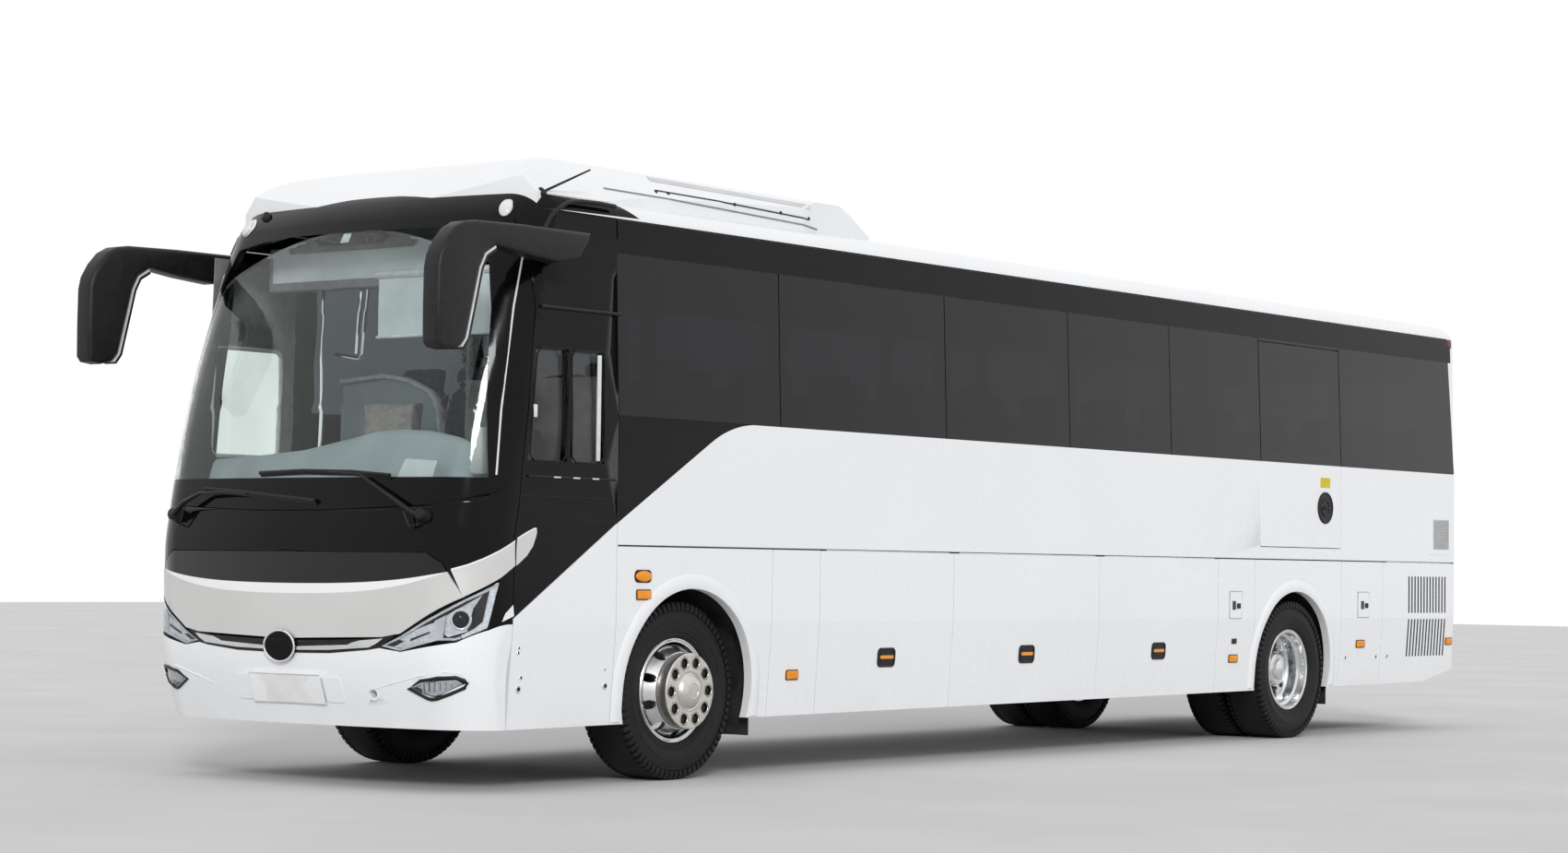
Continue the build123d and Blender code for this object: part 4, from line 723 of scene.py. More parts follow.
# %% Lamp finishes
def lit_strip():
    recipe = Recipe("daytime_light", Roughness=0.2, Emission_Color=(0.92, 0.96, 1.0, 1.0),
                    Emission_Strength=0.25)
    cells = recipe.node("ShaderNodeTexVoronoi", {"Vector": recipe.where, "Scale": 90.0}).outputs["Distance"]
    shade = recipe.spread(cells, 0.1, 0.6)
    recipe.put("Base Color", recipe.blend(shade, (0.85, 0.87, 0.90), (0.55, 0.58, 0.62)))
    recipe.grain(cells, 0.4, 0.001)
    return recipe.finish


STRIP = lit_strip()
REFLECTOR = mottled("lamp_reflector", (0.68, 0.69, 0.71), (0.80, 0.81, 0.83), 0.16, 30.0, (160.0, 0.5, 0.002),
                    0.06, Metallic=1.0)
PALE_PLASTIC = mottled("pale_lamp_frame", (0.66, 0.67, 0.69), (0.74, 0.75, 0.77), 0.25, 20.0,
                       (500.0, 0.1, 0.0004))

# %% Headlamps
LAMP = ((0.704, 0.772), (0.840, 0.750), (1.075, 0.811), (1.168, 0.811), (1.233, 0.830), (1.351, 0.875),
        (1.428, 1.134), (1.220, 1.040), (0.830, 0.832))
LEFT_PART = ((0.738, 0.775), (0.852, 0.841), (1.060, 0.913), (1.049, 0.819), (0.867, 0.771))
LEFT_TIP = ((0.738, 0.775), (0.812, 0.818), (0.860, 0.806), (0.800, 0.778))
LEFT_RIB = ((0.900, 0.806), (1.020, 0.850), (1.026, 0.862), (0.905, 0.820))
DIVIDER = ((1.053, 0.918), (1.115, 0.948), (1.100, 0.825), (1.049, 0.811))
RIGHT_PART = ((1.113, 0.946), (1.319, 1.058), (1.266, 0.986), (1.232, 0.863), (1.128, 0.832), (1.106, 0.844))
STRIP_IN = ((1.396, 1.122), (1.361, 1.088), (1.321, 0.916), (1.268, 0.876), (1.198, 0.842))
STRIP_OUT = ((1.205, 0.826), (1.280, 0.856), (1.343, 0.884), (1.415, 1.124))
UPPER_EDGE = ((0.715, 0.781), (0.830, 0.828), (1.220, 1.036), (1.424, 1.128), (1.416, 1.110), (1.224, 1.024),
              (0.835, 0.817), (0.730, 0.776))
LOWER_EDGE = ((0.715, 0.777), (0.840, 0.755), (1.075, 0.816), (1.168, 0.816), (1.200, 0.826), (1.196, 0.838),
              (1.166, 0.828), (1.072, 0.828), (0.842, 0.768), (0.735, 0.784))
PROJECTOR, PROJECTOR_R = (1.196, 0.926), 0.046
CHIP = ((1.512, 1.006), (1.520, 0.947), (1.432, 0.916), (1.454, 0.960))


def skin_way(s, z):
    """The outward direction of the skin."""
    across = skin(s + 0.004, z) - skin(s - 0.004, z)
    rise = skin(s, z + 0.004) - skin(s, z - 0.004)
    way = across.cross(rise).normalized()
    return way if way.dot(Vector((0.4 if s > 0 else -0.4, -1, 0))) > 0 else -way


for part, outlines, proud, deep, finish in (
        ("housings", [LAMP], -0.030, 0.004, MATT), ("inner_bowls", [LEFT_PART], -0.012, 0.010, REFLECTOR),
        ("dark_tips", [LEFT_TIP, LEFT_RIB], -0.009, 0.004, MATT),
        ("dividers", [DIVIDER], -0.006, 0.020, PALE_PLASTIC),
        ("projector_bowls", [RIGHT_PART], -0.022, 0.006, REFLECTOR),
        ("daytime_strips", [STRIP_IN + STRIP_OUT], -0.005, 0.014, STRIP),
        ("edges", [UPPER_EDGE, LOWER_EDGE], -0.0035, 0.016, PALE_PLASTIC)):
    laid("headlamp_" + part, outlines, proud, deep, finish, both=True)
projectors = bmesh.new()
for side in (1, -1):
    s, z = PROJECTOR[0] * side, PROJECTOR[1]
    centre, way = skin(s, z, -0.024), skin_way(s, z)
    for slot, profile in enumerate((
            ((0.0, 1.28), (0.010, 1.28), (0.014, 1.12), (0.012, 0.98)),
            ((0.012, 0.98), (0.004, 0.88), (0.008, 0.70), (0.013, 0.40), (0.015, 0.0)))):
        add_turned(projectors, [(x, PROJECTOR_R * share) for x, share in profile], centre, way, slot=slot)
made("headlamp_projectors", projectors, [CHROME, BLACK])
lenses = laid("headlamp_covers", [LAMP], -0.0002, 0.0025, LENS, both=True)
laid("headlamp_chips", [CHIP], 0.0012, 0.004, WHITE, both=True)

# %% Fog lamps
FOG_OUT = ((0.866, 0.554), (0.952, 0.596), (1.060, 0.614), (1.158, 0.619), (1.200, 0.604), (1.213, 0.588),
           (1.196, 0.565), (1.110, 0.530), (1.033, 0.503), (1.000, 0.498), (0.975, 0.504))
FOG_IN = ((0.895, 0.555), (0.965, 0.583), (1.060, 0.599), (1.156, 0.606), (1.191, 0.585), (1.175, 0.567),
          (1.100, 0.540), (1.031, 0.519), (0.993, 0.520))
laid("fog_lamp_bowls", [FOG_IN], -0.020, 0.004, REFLECTOR, both=True)
nose_rods("fog_lamp_rims", FOG_OUT, 0.001, 0.010, MATT, closed=True)
bars = bmesh.new()
for side in (1, -1):
    for n in range(7):
        s = 0.945 + n * 0.034
        add_tube(bars, [skin(s * side, 0.531 + n * 0.003, -0.012), skin((s + 0.012) * side, 0.590, -0.012)],
                 0.0045)
made("fog_lamp_bars", bars, CHROME)
fog_covers = laid("fog_lamp_covers", [FOG_IN], -0.004, 0.0025, LENS, both=True)
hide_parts("headlights")
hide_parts("headlights")
bpy.data.objects.remove(SMOOTH.pop("headlights"))

# %% [markdown]
# ## Bumper details
# A low crease sweeps over each fog lamp, and the number plate is blank in a thin frame
# with a flat pad on each side. Small round locks break the surface.

# %% Bumper
CREASE = ((0.560, 0.528), (0.625, 0.542), (0.754, 0.577), (0.956, 0.625), (1.105, 0.648), (1.174, 0.641),
          (1.238, 0.607))
swell = [0.008 * math.sin(math.pi * (k + 0.4) / len(CREASE)) for k in range(len(CREASE))]
nose_rods("bumper_creases", CREASE, -0.002, swell, WHITE, flat=0.7)

PLATE_LOW, PLATE_HIGH, PLATE_HALF = 0.450, 0.606, 0.280


def rounded(s0, s1, z0, z1, r, count=5):
    """A rectangle with round corners, as points."""
    points = []
    for cs, cz, start in ((s1 - r, z1 - r, 0), (s0 + r, z1 - r, 90), (s0 + r, z0 + r, 180),
                          (s1 - r, z0 + r, 270)):
        for k in range(count):
            a = math.radians(start + 90 * k / (count - 1))
            points.append((cs + r * math.cos(a), cz + r * math.sin(a)))
    return points


def plate_finish():
    recipe = Recipe("blank_plate", Specular_IOR_Level=0.4)
    wide = recipe.cloud(9.0)
    recipe.shades(wide, (0.80, 0.80, 0.79), (0.74, 0.74, 0.735))
    recipe.put("Roughness", recipe.spread(wide, 0.3, 0.7, (0.35, 0.45)))
    recipe.grain(recipe.cloud(200.0), 0.06, 0.0004)
    return recipe.finish


laid("number_plate",
     [rounded(-PLATE_HALF + 0.006, PLATE_HALF - 0.006, PLATE_LOW + 0.004, PLATE_HIGH - 0.004, 0.012)],
     0.0125, 0.003, plate_finish(), step=0.2)
side_pad = rounded(PLATE_HALF + 0.004, PLATE_HALF + 0.130, 0.462, 0.600, 0.016)
laid("plate_side_pads", [side_pad], 0.007, 0.010, WHITE, step=0.2, both=True)
nose_rods("plate_frame", rounded(-PLATE_HALF, PLATE_HALF, PLATE_LOW, PLATE_HIGH, 0.012), 0.0125, 0.0035,
          SHEET, both=False, closed=True)


def add_lock(mesh, rows, centre, way):
    """Adds a round lock with a dark middle from its rows of height and radius."""
    add_turned(mesh, rows, centre, way, 20, slots=[0, 0, 0, 1, 1])


locks = bmesh.new()
for s, z, r in ((1.572, 0.774, 0.010), (1.567, 0.748, 0.012), (1.576, 0.614, 0.013), (1.543, 0.553, 0.022),
                (2.258, 0.647, 0.008), (2.242, 0.556, 0.021)):
    for side in (1, -1):
        add_lock(locks, ((-0.004, r), (0.003, r), (0.005, r * 0.86), (0.0045, r * 0.55), (0.001, r * 0.50),
                         (0.001, 0.0)), skin(s * side, z, 0.0), skin_way(s * side, z))
for y, z in ((4.183, 0.591), (4.693, 0.591), (4.883, 0.593)):
    for _, sign, place in SIDES:
        add_lock(locks, ((-0.004, 0.018), (0.003, 0.018), (0.005, 0.015), (0.0045, 0.010), (0.001, 0.009),
                         (0.001, 0.0)), place(y, z), (sign, 0, 0))
made("panel_locks", locks, [CHROME, MATT])

# %% [markdown]
# ## Wipers, marker lamps, aerials and gutters
# The wipers are two tapered arms over the lower glass, each with a thin blade. Bars that
# follow points are enough, since every one of them is a bent rod.

# %% Wipers
# Each row is distance along the skin, height and how far the arm or blade stands off.
wipers = bmesh.new()
NEAR_ARM = ((0.965, 1.478, 0.046), (0.93, 1.492, 0.060), (0.86, 1.530, 0.064), (0.70, 1.615, 0.058),
            (0.523, 1.702, 0.046), (0.30, 1.712, 0.038))
NEAR_BLADE = ((-0.251, 1.712, 0.020), (0.10, 1.722, 0.018), (0.45, 1.714, 0.018), (0.715, 1.694, 0.020))
FAR_ARM = ((-0.965, 1.478, 0.046), (-0.93, 1.490, 0.058), (-0.84, 1.552, 0.062), (-0.709, 1.602, 0.056),
           (-0.50, 1.606, 0.050), (-0.301, 1.596, 0.042))
FAR_BLADE = ((-0.72, 1.628, 0.018), (-0.40, 1.610, 0.018), (-0.05, 1.580, 0.018), (0.218, 1.557, 0.020))
WIPER_FOOT = ((-0.01, 0.046), (0.016, 0.044), (0.034, 0.034), (0.052, 0.034), (0.062, 0.026), (0.064, 0.0))
for arm, blade in ((NEAR_ARM, NEAR_BLADE), (FAR_ARM, FAR_BLADE)):
    (x, z, _), elbow = arm[0], arm[2]
    add_tube(wipers, [skin(*row) for row in arm], [0.021, 0.021, 0.019, 0.014, 0.012, 0.008], 6, 0.7)
    add_tube(wipers, [skin(*row) for row in blade], 0.009, 6, 1.3)
    add_tube(wipers, [skin(s, height - 0.012, 0.009) for s, height, _ in blade], 0.005, 4, 2.2)
    add_turned(wipers, WIPER_FOOT, skin(x, z, 0.0), skin_way(x, z), 24)
    add_tube(wipers, [skin(x * 0.985, z - 0.045, 0.022), skin(x * 0.93, z - 0.060, 0.030),
                      skin(elbow[0], elbow[1] - 0.030, 0.052)], 0.005, 6)
wiper_piece = made("wiper_arms", wipers, MATT, angle=40)
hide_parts("wipers")

# %% Marker lamps, aerials and gutters
markers = bmesh.new()
for x, y, z in ((1.017, -5.216, 3.171), (-0.995, -5.236, 3.168)):
    side = 1 if x > 0 else -1
    way = Vector((0.30 * side, -0.82, 0.45)).normalized()
    across = way.cross(Vector((0, 0, 1))).normalized()
    rise = across.cross(way)
    for proud, wide, slot in ((-0.014, 1.25, 0), (0.004, 1.0, 1)):
        ball = bmesh.new()
        bmesh.ops.create_uvsphere(ball, u_segments=20, v_segments=10, radius=1.0)
        poured(markers, ball, slot, lambda p: Vector((x, y, z)) + across * p.x * 0.040 * wide
               + rise * p.y * 0.056 * wide + way * (p.z * 0.020 + proud))
made("marker_lamps", markers, [CHROME, PALE_PLASTIC])

aerials = bmesh.new()
for foot, tip in (((1.130, -5.060, 3.266), (1.262, -4.800, 3.412)),
                  ((-0.880, -5.200, 3.232), (-1.020, -4.990, 3.362))):
    foot, tip = Vector(foot), Vector(tip)
    add_turned(aerials, ((-0.02, 0.034), (0.004, 0.034), (0.020, 0.020), (0.030, 0.009), (0.030, 0.0)), foot,
               (0.2 if foot.x > 0 else -0.2, -0.3, 1), 18)
    add_tube(aerials, [foot + (tip - foot) * t for t in (0.02, 0.3, 0.7, 1.0)],
             [0.008, 0.007, 0.006, 0.005], 8)
made("aerials", aerials, MATT)

GUTTER = ((1.276, 3.030), (1.281, 3.075), (1.292, 3.132), (1.318, 3.182), (1.352, 3.214), (1.400, 3.228),
          (1.449, 3.233), (1.606, 3.236), (1.731, 3.232))
nose_rods("gutters", GUTTER, 0.012, 0.014, MATT, sides=8, flat=0.9)
print("wipers, markers, aerials and gutters made")

# %% [markdown]
# ## Side glass and panel trim
# Past the nose the sides are flat, so trim is drawn by its place along the coach and its
# height. Thin strips stand in the seams of the driver's panel, a pale strip marks the
# sliding pane, and the white edge of the windscreen is a bright moulding.

# %% Windscreen mouldings
FRIT_TOP = 1.685
FRIT = ((0.0, 1.508), (0.329, 1.509), (0.988, 1.535), (1.331, 1.604), (1.425, 1.664),
        (1.352, FRIT_TOP + 0.02), (1.290, FRIT_TOP), (0.0, FRIT_TOP))
SIDE_FRIT = ((1.290, 1.680), (1.356, 1.690), (1.312, 2.050), (1.205, 2.620), (1.115, 2.890), (1.100, 3.150),
             (0.985, 3.150), (1.040, 2.860), (1.120, 2.600), (1.220, 2.050))
TOP_FRIT = ((0.0, 3.085), (0.600, 3.080), (1.000, 3.040), (1.040, 3.150), (0.0, 3.150))
mirror_side = [(-s, z) for s, z in FRIT[::-1][1:-1]]
laid("screen_lower_frit", [tuple(FRIT) + tuple(mirror_side)], 0.0008, 0.0016, BLACK)
laid("screen_side_frit", [SIDE_FRIT], 0.0008, 0.0016, BLACK, both=True)
laid("screen_top_frit", [TOP_FRIT], 0.0008, 0.0016, BLACK, both=True)
MOULDING_LINE = ((1.330, 1.700), (1.296, 2.050), (1.236, 2.620), (1.212, 2.903))
nose_rods("screen_side_mouldings", MOULDING_LINE, 0.003, 0.0065, PALE_PLASTIC, sides=6, flat=0.5)

# %% Driver's panel and side strips
DRIVER_TOP, DRIVER_LOW = 2.628, 1.700


def flank_bars(name, rows):
    """Straight bars on the left side: y0, z0, y1, z1, half width, how proud."""
    mesh = bmesh.new()
    for y0, z0, y1, z1, wide, proud in rows:
        ends = ((y0, z0), ((y0 + y1) / 2, (z0 + z1) / 2), (y1, z1))
        add_tube(mesh, [flank(y, z, proud) for y, z in ends], wide, 8, 0.7)
    return made(name, mesh, MATT)


flank_bars("driver_panel_bars", ((-5.190, DRIVER_TOP, -4.520, DRIVER_TOP, 0.016, 0.004),
                                 (-5.290, DRIVER_LOW, -4.560, DRIVER_LOW, 0.010, 0.002)))
flank_bars("driver_panel_seams", ((-5.350, 1.593, -4.540, 1.593, 0.003, 0.0),
                                  (-4.536, 1.46, -4.536, 3.05, 0.003, 0.0)))
sill_x, pane_x = side_x(DRIVER_LOW), side_x(2.1)
blocks("driver_panel_marks", PALE_PLASTIC,
       *(((sill_x + 0.008, y - 0.028, 1.696), (sill_x + 0.013, y + 0.028, 1.704), 0.001)
         for y in (-5.06, -4.90, -4.74)))

PANES = ((-5.215, -4.965, -5.281, -4.979), (-4.934, -4.660, -4.934, -4.660))
PANE_TOP, PANE_LOW = 2.402, 1.787
PANE_ROUND = 0.035
pane_rims = bmesh.new()
for top0, top1, low0, low1 in PANES:
    corners = [(top0, PANE_TOP), (top1, PANE_TOP), (low1, PANE_LOW), (low0, PANE_LOW)]
    ring = []
    for n, (y, z) in enumerate(corners):
        for other in (corners[n - 1], corners[(n + 1) % 4]):
            way = Vector((other[0] - y, other[1] - z)).normalized() * PANE_ROUND
            ring.append((y + way.x, z + way.y))
    add_tube(pane_rims, [flank(y, z, 0.001) for y, z in ring], 0.007, 6, 0.6, closed=True)
made("driver_pane_rims", pane_rims, MATT)
blocks("driver_pane_slider", PALE_PLASTIC,
       ((pane_x - 0.016, -4.712, 1.800), (pane_x - 0.004, -4.684, 2.388), 0.003),
       ((pane_x - 0.010, -5.252, 2.02), (pane_x + 0.010, -5.226, 2.09), 0.004))

# %% [markdown]
# ## Arches, mouldings and flap hardware
# A raised lip follows each wheel arch and runs down to the skirt on both sides. It is the
# arch's own circle swept as a low bar. The skirt's flaps carry black latches with an
# orange bar, and the filler flaps have rims of their own.

# %% Arch lips
FRONT_AXLE_Y, REAR_AXLE_Y, AXLE_Z = -3.860, 3.350, 0.512
ARCH_R = 0.585
LIP_WIDE = 0.085


def arch_points(axle, r, low):
    """The arch and its two legs, from the front foot to the rear one."""
    angles = [math.pi * k / 36 for k in range(37)]
    curve = [(axle - r * math.cos(a), AXLE_Z + r * math.sin(a)) for a in angles]
    return [(axle - r, low), *curve, (axle + r, low)]


# Each row is how far outside the arch, and how proud of the side.
LIP_ROWS = ((0.001, -0.006), (0.001, 0.007), (0.014, 0.011), (0.046, 0.011), (0.072, 0.007),
            (LIP_WIDE, 0.0), (LIP_WIDE, -0.004))
lips = bmesh.new()
for axle, low in ((FRONT_AXLE_Y, 0.352), (REAR_AXLE_Y, 0.388)):
    for side in (1, -1):
        lines = [[(y, z, proud) for y, z in arch_points(axle, ARCH_R + out, low)] for out, proud in LIP_ROWS]
        bridge(lips, [[lips.verts.new(((side_x(z) + proud) * side, y, z)) for y, z, proud in ring]
                      for ring in zip(*lines)])
made("arch_lips", lips, WHITE, angle=40)

# %% Latches, filler flaps and lamps
ORANGE = mottled("latch_orange", (0.82, 0.27, 0.02), (0.90, 0.33, 0.03), 0.35, 30.0, (600.0, 0.1, 0.0004))
LATCHES = (-1.923, -0.328, 1.367)
LATCH_Z = 0.677
LATCH_HALF_Y, LATCH_HALF_Z = 0.088, 0.054
for side_name, _, place in SIDES:
    for n, y in enumerate(LATCHES, 1):
        latch = bmesh.new()
        ring = rounded(y - LATCH_HALF_Y, y + LATCH_HALF_Y, LATCH_Z - LATCH_HALF_Z, LATCH_Z + LATCH_HALF_Z,
                       0.026)
        add_tube(latch, [place(py, pz, 0.001) for py, pz in ring], 0.007, 6, closed=True)
        lay(latch, ring, 0.0018, 0.004, place, 1.0)
        for y0, y1, z0, z1, r, proud, slot in ((-0.062, 0.062, -0.034, 0.034, 0.016, 0.0045, 0),
                                               (-0.066, 0.070, -0.008, 0.013, 0.007, 0.0075, 1)):
            lay(latch, rounded(y + y0, y + y1, LATCH_Z + z0, LATCH_Z + z1, r), proud, 0.006, place, 1.0, slot)
        made(f"{side_name}_luggage_latch_{n}", latch, [MATT, ORANGE], f"{side_name}_luggage_flap_{n}_body")

FILLERS = ((2.346, 2.525, 2.428), (4.350, 4.538, 4.444))
fillers = bmesh.new()
for y0, y1, latch_y in FILLERS:
    ring = rounded(y0, y1, 0.900, 1.095, 0.006)
    for _, _, place in SIDES:
        lay(fillers, ring, 0.0025, 0.006, place, 1.0)
        lay(fillers, rounded(latch_y - 0.044, latch_y + 0.006, 0.963, 1.027, 0.006), 0.004, 0.004, place,
            1.0, 2)
        lay(fillers, rounded(latch_y + 0.020, latch_y + 0.074, 0.972, 1.010, 0.006), 0.006, 0.006, place,
            1.0, 1)
        add_tube(fillers, [place(py, pz, 0.0012) for py, pz in ring], 0.0022, 4, slot=1, closed=True)
for _, _, place in SIDES:
    lay(fillers, rounded(2.396, 2.472, 0.714, 0.754, 0.006), 0.002, 0.004, place, 1.0, 2)
    lay(fillers, rounded(2.412, 2.456, 0.722, 0.746, 0.005), 0.005, 0.004, place, 1.0, 1)
made("filler_flaps", fillers, [WHITE, MATT, DARK])

# Each row is y, z, half length and half height.
SIDE_LAMPS = ((-4.308, 1.166, 0.068, 0.030), (-4.302, 1.062, 0.058, 0.024), (-2.883, 0.586, 0.054, 0.025),
              (2.432, 0.608, 0.060, 0.024), (4.418, 0.694, 0.066, 0.025))
DOOR_LAMP = (5.965, 0.699, 0.052, 0.024)


def side_lamp(feet, lamps, place, y, z, half_y, half_z, round_share):
    """A domed lens on its dark foot."""
    lay(feet, rounded(y - half_y - 0.006, y + half_y + 0.006, z - half_z - 0.006, z + half_z + 0.006,
                      half_z * max(round_share, 0.4)), 0.004, 0.008, place, 1.0)
    rings = []
    for share, proud in ((1.0, 0.004), (1.0, 0.010), (0.94, 0.0145), (0.84, 0.017), (0.60, 0.0185)):
        ring = (oval(half_y * share, half_z * share, (y, z)) if round_share > 0.9 else
                rounded(y - half_y * share, y + half_y * share, z - half_z * share, z + half_z * share,
                        max(half_z * round_share * share, 0.002)))
        rings.append([lamps.verts.new(place(py, pz, proud)) for py, pz in ring])
    bridge(lamps, rings)


lamp_feet, side_lamps = bmesh.new(), bmesh.new()
for n, row in enumerate(SIDE_LAMPS):
    for _, _, place in SIDES:
        side_lamp(lamp_feet, side_lamps, place, *row, 0.98 if n == 0 else 0.25)
made("side_lamp_feet", lamp_feet, MATT)
amber = made("side_lamps", side_lamps, AMBER)
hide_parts("amber_lamps")
for side_name, _, place in SIDES:
    feet, lamps = bmesh.new(), bmesh.new()
    side_lamp(feet, lamps, place, *DOOR_LAMP, 0.25)
    made(f"{side_name}_door_lamp_foot", feet, MATT, f"{side_name}_engine_door_body")
    made(f"{side_name}_door_lamp", lamps, AMBER, f"{side_name}_engine_door_body")
print("latches:", 2 * len(LATCHES), "filler flaps:", 2 * len(FILLERS))

# The waist seam's matt black strip is the seam with the shade of its recess painted in.
SEAM_Z = 1.336
for name, low, high, proud, deep, finish in (
        ("window_top_borders", 2.975, 3.160, 0.0012, 0.0016, BLACK),
        ("waist_seams", SEAM_Z - 0.0045, SEAM_Z + 0.0045, 0.0008, 0.004, MATT)):
    strip = bmesh.new()
    for _, _, place in SIDES:
        lay(strip, ((-4.530, low), (6.030, low), (6.030, high), (-4.530, high)), proud, deep, place, 0.5)
    made(name, strip, finish)

# %% [markdown]
# ## Grilles, vents and the plain door furniture
# Each grille of the engine doors and each vent panel is a row of one slat, so the repeater
# sets them. The exit door gets its round handle and a blank yellow label.

# %% Slats behind the grilles
GRILLE_Z = ((0.931, 1.223), (0.585, 0.882))
GRILLE_Y0, GRILLE_Y1, GRILLE_COUNT, SLAT_HALF = 5.204, 5.903, 13, 0.0136
step = (GRILLE_Y1 - GRILLE_Y0) / GRILLE_COUNT
for side_name, _, place in SIDES:
    for n, (z0, z1) in enumerate(GRILLE_Z, 1):
        form = bmesh.new()
        low, high = z0 + 0.001, z1 - 0.001
        lay(form, ((-SLAT_HALF, low), (SLAT_HALF, low), (SLAT_HALF, high), (-SLAT_HALF, high)), -0.0025,
            0.006, place, 0.06)
        repeated(f"{side_name}_grille_slats_{n}", form, GRILLE_COUNT, MATT, f"{side_name}_engine_door_body",
                 start=(0, GRILLE_Y0 + step / 2, 0), step=(0, step, 0))

vent = bmesh.new()
for _, _, place in SIDES:
    lay(vent, rounded(5.590, 5.965, 1.400, 1.720, 0.020), 0.003, 0.006, place, 1.0)
    lay(vent, rounded(5.655, 5.935, 1.444, 1.684, 0.008), 0.0045, 0.004, place, 1.0, 1)
VENT_GREY = mottled("vent_grey", (0.44, 0.445, 0.45), (0.49, 0.495, 0.50), 0.6, 14.0, (600.0, 0.2, 0.0004))
made("upper_vent_plates", vent, [WHITE, VENT_GREY])
for side_name, sign, _ in SIDES:
    form = bmesh.new()
    low, high = sorted(sign * (side_x(1.5) + proud) for proud in (0.002, 0.008))
    add_block(form, (low, 5.662, -0.004), (high, 5.928, 0.004), 0.001)
    repeated(f"{side_name}_vent_louvres", form, 19, VENT_GREY, start=(0, 0, 1.456), step=(0, 0, 0.012))

door_knob = bmesh.new()
add_turned(door_knob, ((0.0, 0.122), (0.006, 0.121), (0.010, 0.112), (0.004, 0.104), (0.003, 0.070),
                       (0.009, 0.066), (0.010, 0.058), (0.004, 0.052), (0.003, 0.0)),
           flank(3.807, 1.736), (1, 0, 0), 44)
add_tube(door_knob, [flank(y, 1.736, proud) for y, proud in
                     ((3.760, 0.008), (3.772, 0.020), (3.842, 0.020), (3.854, 0.008))], 0.009, 8)
made("exit_door_handle", door_knob, MATT, "exit_door_body")
LABEL_YELLOW = mottled("yellow_label", (0.62, 0.50, 0.02), (0.68, 0.56, 0.04), 0.5, 30.0,
                       Specular_IOR_Level=0.2)
laid("exit_door_label", [rounded(3.730, 3.884, 1.890, 1.966, 0.005)], 0.0015, 0.002, LABEL_YELLOW,
     "exit_door_body", flank, 1.0)

# %% [markdown]
# ## Wheels
# Each front wheel shows a bright trim ring, a polished dish with ten hand holes and a
# cover over the hub with ten deep nut holes and a domed cap. The rear wheels are turned
# the other way round, so their dish is deep and the hub stands in it. Turned forms are
# spun from short profiles, and the tyre's shoulder blocks are one block set round the
# tread by the repeater.

# %% A turned face with holes
def holed_face(mesh, centre, way, rows, hole_r, pitch, count, slot=0, steps=120, bands=14):
    """A turned face between two radii, pushed open round a ring of holes."""
    (x0, r0), (x1, r1) = rows
    reach = hole_r * 1.55
    spots, verts = {}, {}
    for b in range(bands + 1):
        r = r0 + (r1 - r0) * b / bands
        for k in range(steps):
            a = 2 * math.pi * k / steps
            nearest = round(a / (2 * math.pi / count)) * 2 * math.pi / count
            here = Vector((0, r * math.cos(a), r * math.sin(a)))
            hole = Vector((0, pitch * math.cos(nearest), pitch * math.sin(nearest)))
            away = here - hole
            spots[b, k] = away.length
            if away.length < reach:
                way_out = away.normalized() if away.length > 1e-6 else Vector((0, 1, 0))
                here = hole + way_out * (hole_r + away.length / reach * (reach - hole_r))
            depth = x0 + (x1 - x0) * (here.length - r0) / (r1 - r0)
            verts[b, k] = mesh.verts.new(centre + here + way * depth)
    for b in range(bands):
        for k in range(steps):
            ring = [(b, k), (b, (k + 1) % steps), (b + 1, (k + 1) % steps), (b + 1, k)]
            if any(spots[key] > hole_r * 0.9 for key in ring):
                mesh.faces.new([verts[key] for key in ring]).material_index = slot
    bmesh.ops.delete(mesh, geom=[v for v in verts.values() if not v.link_faces], context="VERTS")


def around_axle(count, pitch):
    """Places of a ring about the wheel's axis, from its centre."""
    turns = [2 * math.pi * k / count for k in range(count)]
    return [Vector((0, pitch * math.cos(a), pitch * math.sin(a))) for a in turns]


def from_edge(edge, rows, edge_r=0.0):
    """A profile whose rows are counted from one face and one radius of the wheel."""
    return [(edge + along, edge_r + r) for along, r in rows]


# %% Front hub covers
WHEEL_X, HUB_END = 1.020, 0.2302
NUTS, NUT_PITCH, NUT_HOLE, COVER_R, COVER_T = 10, 0.1665, 0.030, 0.217, 0.014
CAP = ((0.0, 0.112), (-0.003, 0.104), (0.0, 0.098), (0.012, 0.090), (0.022, 0.074), (0.028, 0.052),
       (0.029, 0.044), (0.026, 0.041), (0.027, 0.020), (0.0275, 0.0))


def hub_cover(sign):
    """The satin cover over a front hub with deep nut holes and a domed cap."""
    centre, way = Vector((sign * (WHEEL_X + HUB_END), FRONT_AXLE_Y, AXLE_Z)), Vector((sign, 0, 0))
    outer = COVER_R - 0.005
    mesh = bmesh.new()
    holed_face(mesh, centre, way, ((COVER_T, CAP[0][1]), (COVER_T, outer)), NUT_HOLE, NUT_PITCH, NUTS)
    for place in around_axle(NUTS, NUT_PITCH):
        add_turned(mesh, ((COVER_T, NUT_HOLE * 1.14), (COVER_T + 0.0012, NUT_HOLE * 1.05),
                          (COVER_T - 0.001, NUT_HOLE * 0.98)), centre + place, way, 20)
        # The nuts and the walls of the nut holes take the matt black: painted shade of the deep holes.
        add_turned(mesh, ((COVER_T - 0.001, NUT_HOLE * 0.98), (0.0012, NUT_HOLE * 0.97), (0.0012, 0.014),
                          (0.004, 0.0135), (0.005, 0.010), (0.005, 0.0)), centre + place, way, 20, slot=1)
    add_turned(mesh, ((COVER_T, outer), (COVER_T - 0.004, COVER_R), (0.0, COVER_R + 0.0015),
                      (-0.052, COVER_R + 0.0015)), centre, way, 96)
    add_turned(mesh, from_edge(COVER_T, CAP), centre, way, 60)
    return mesh


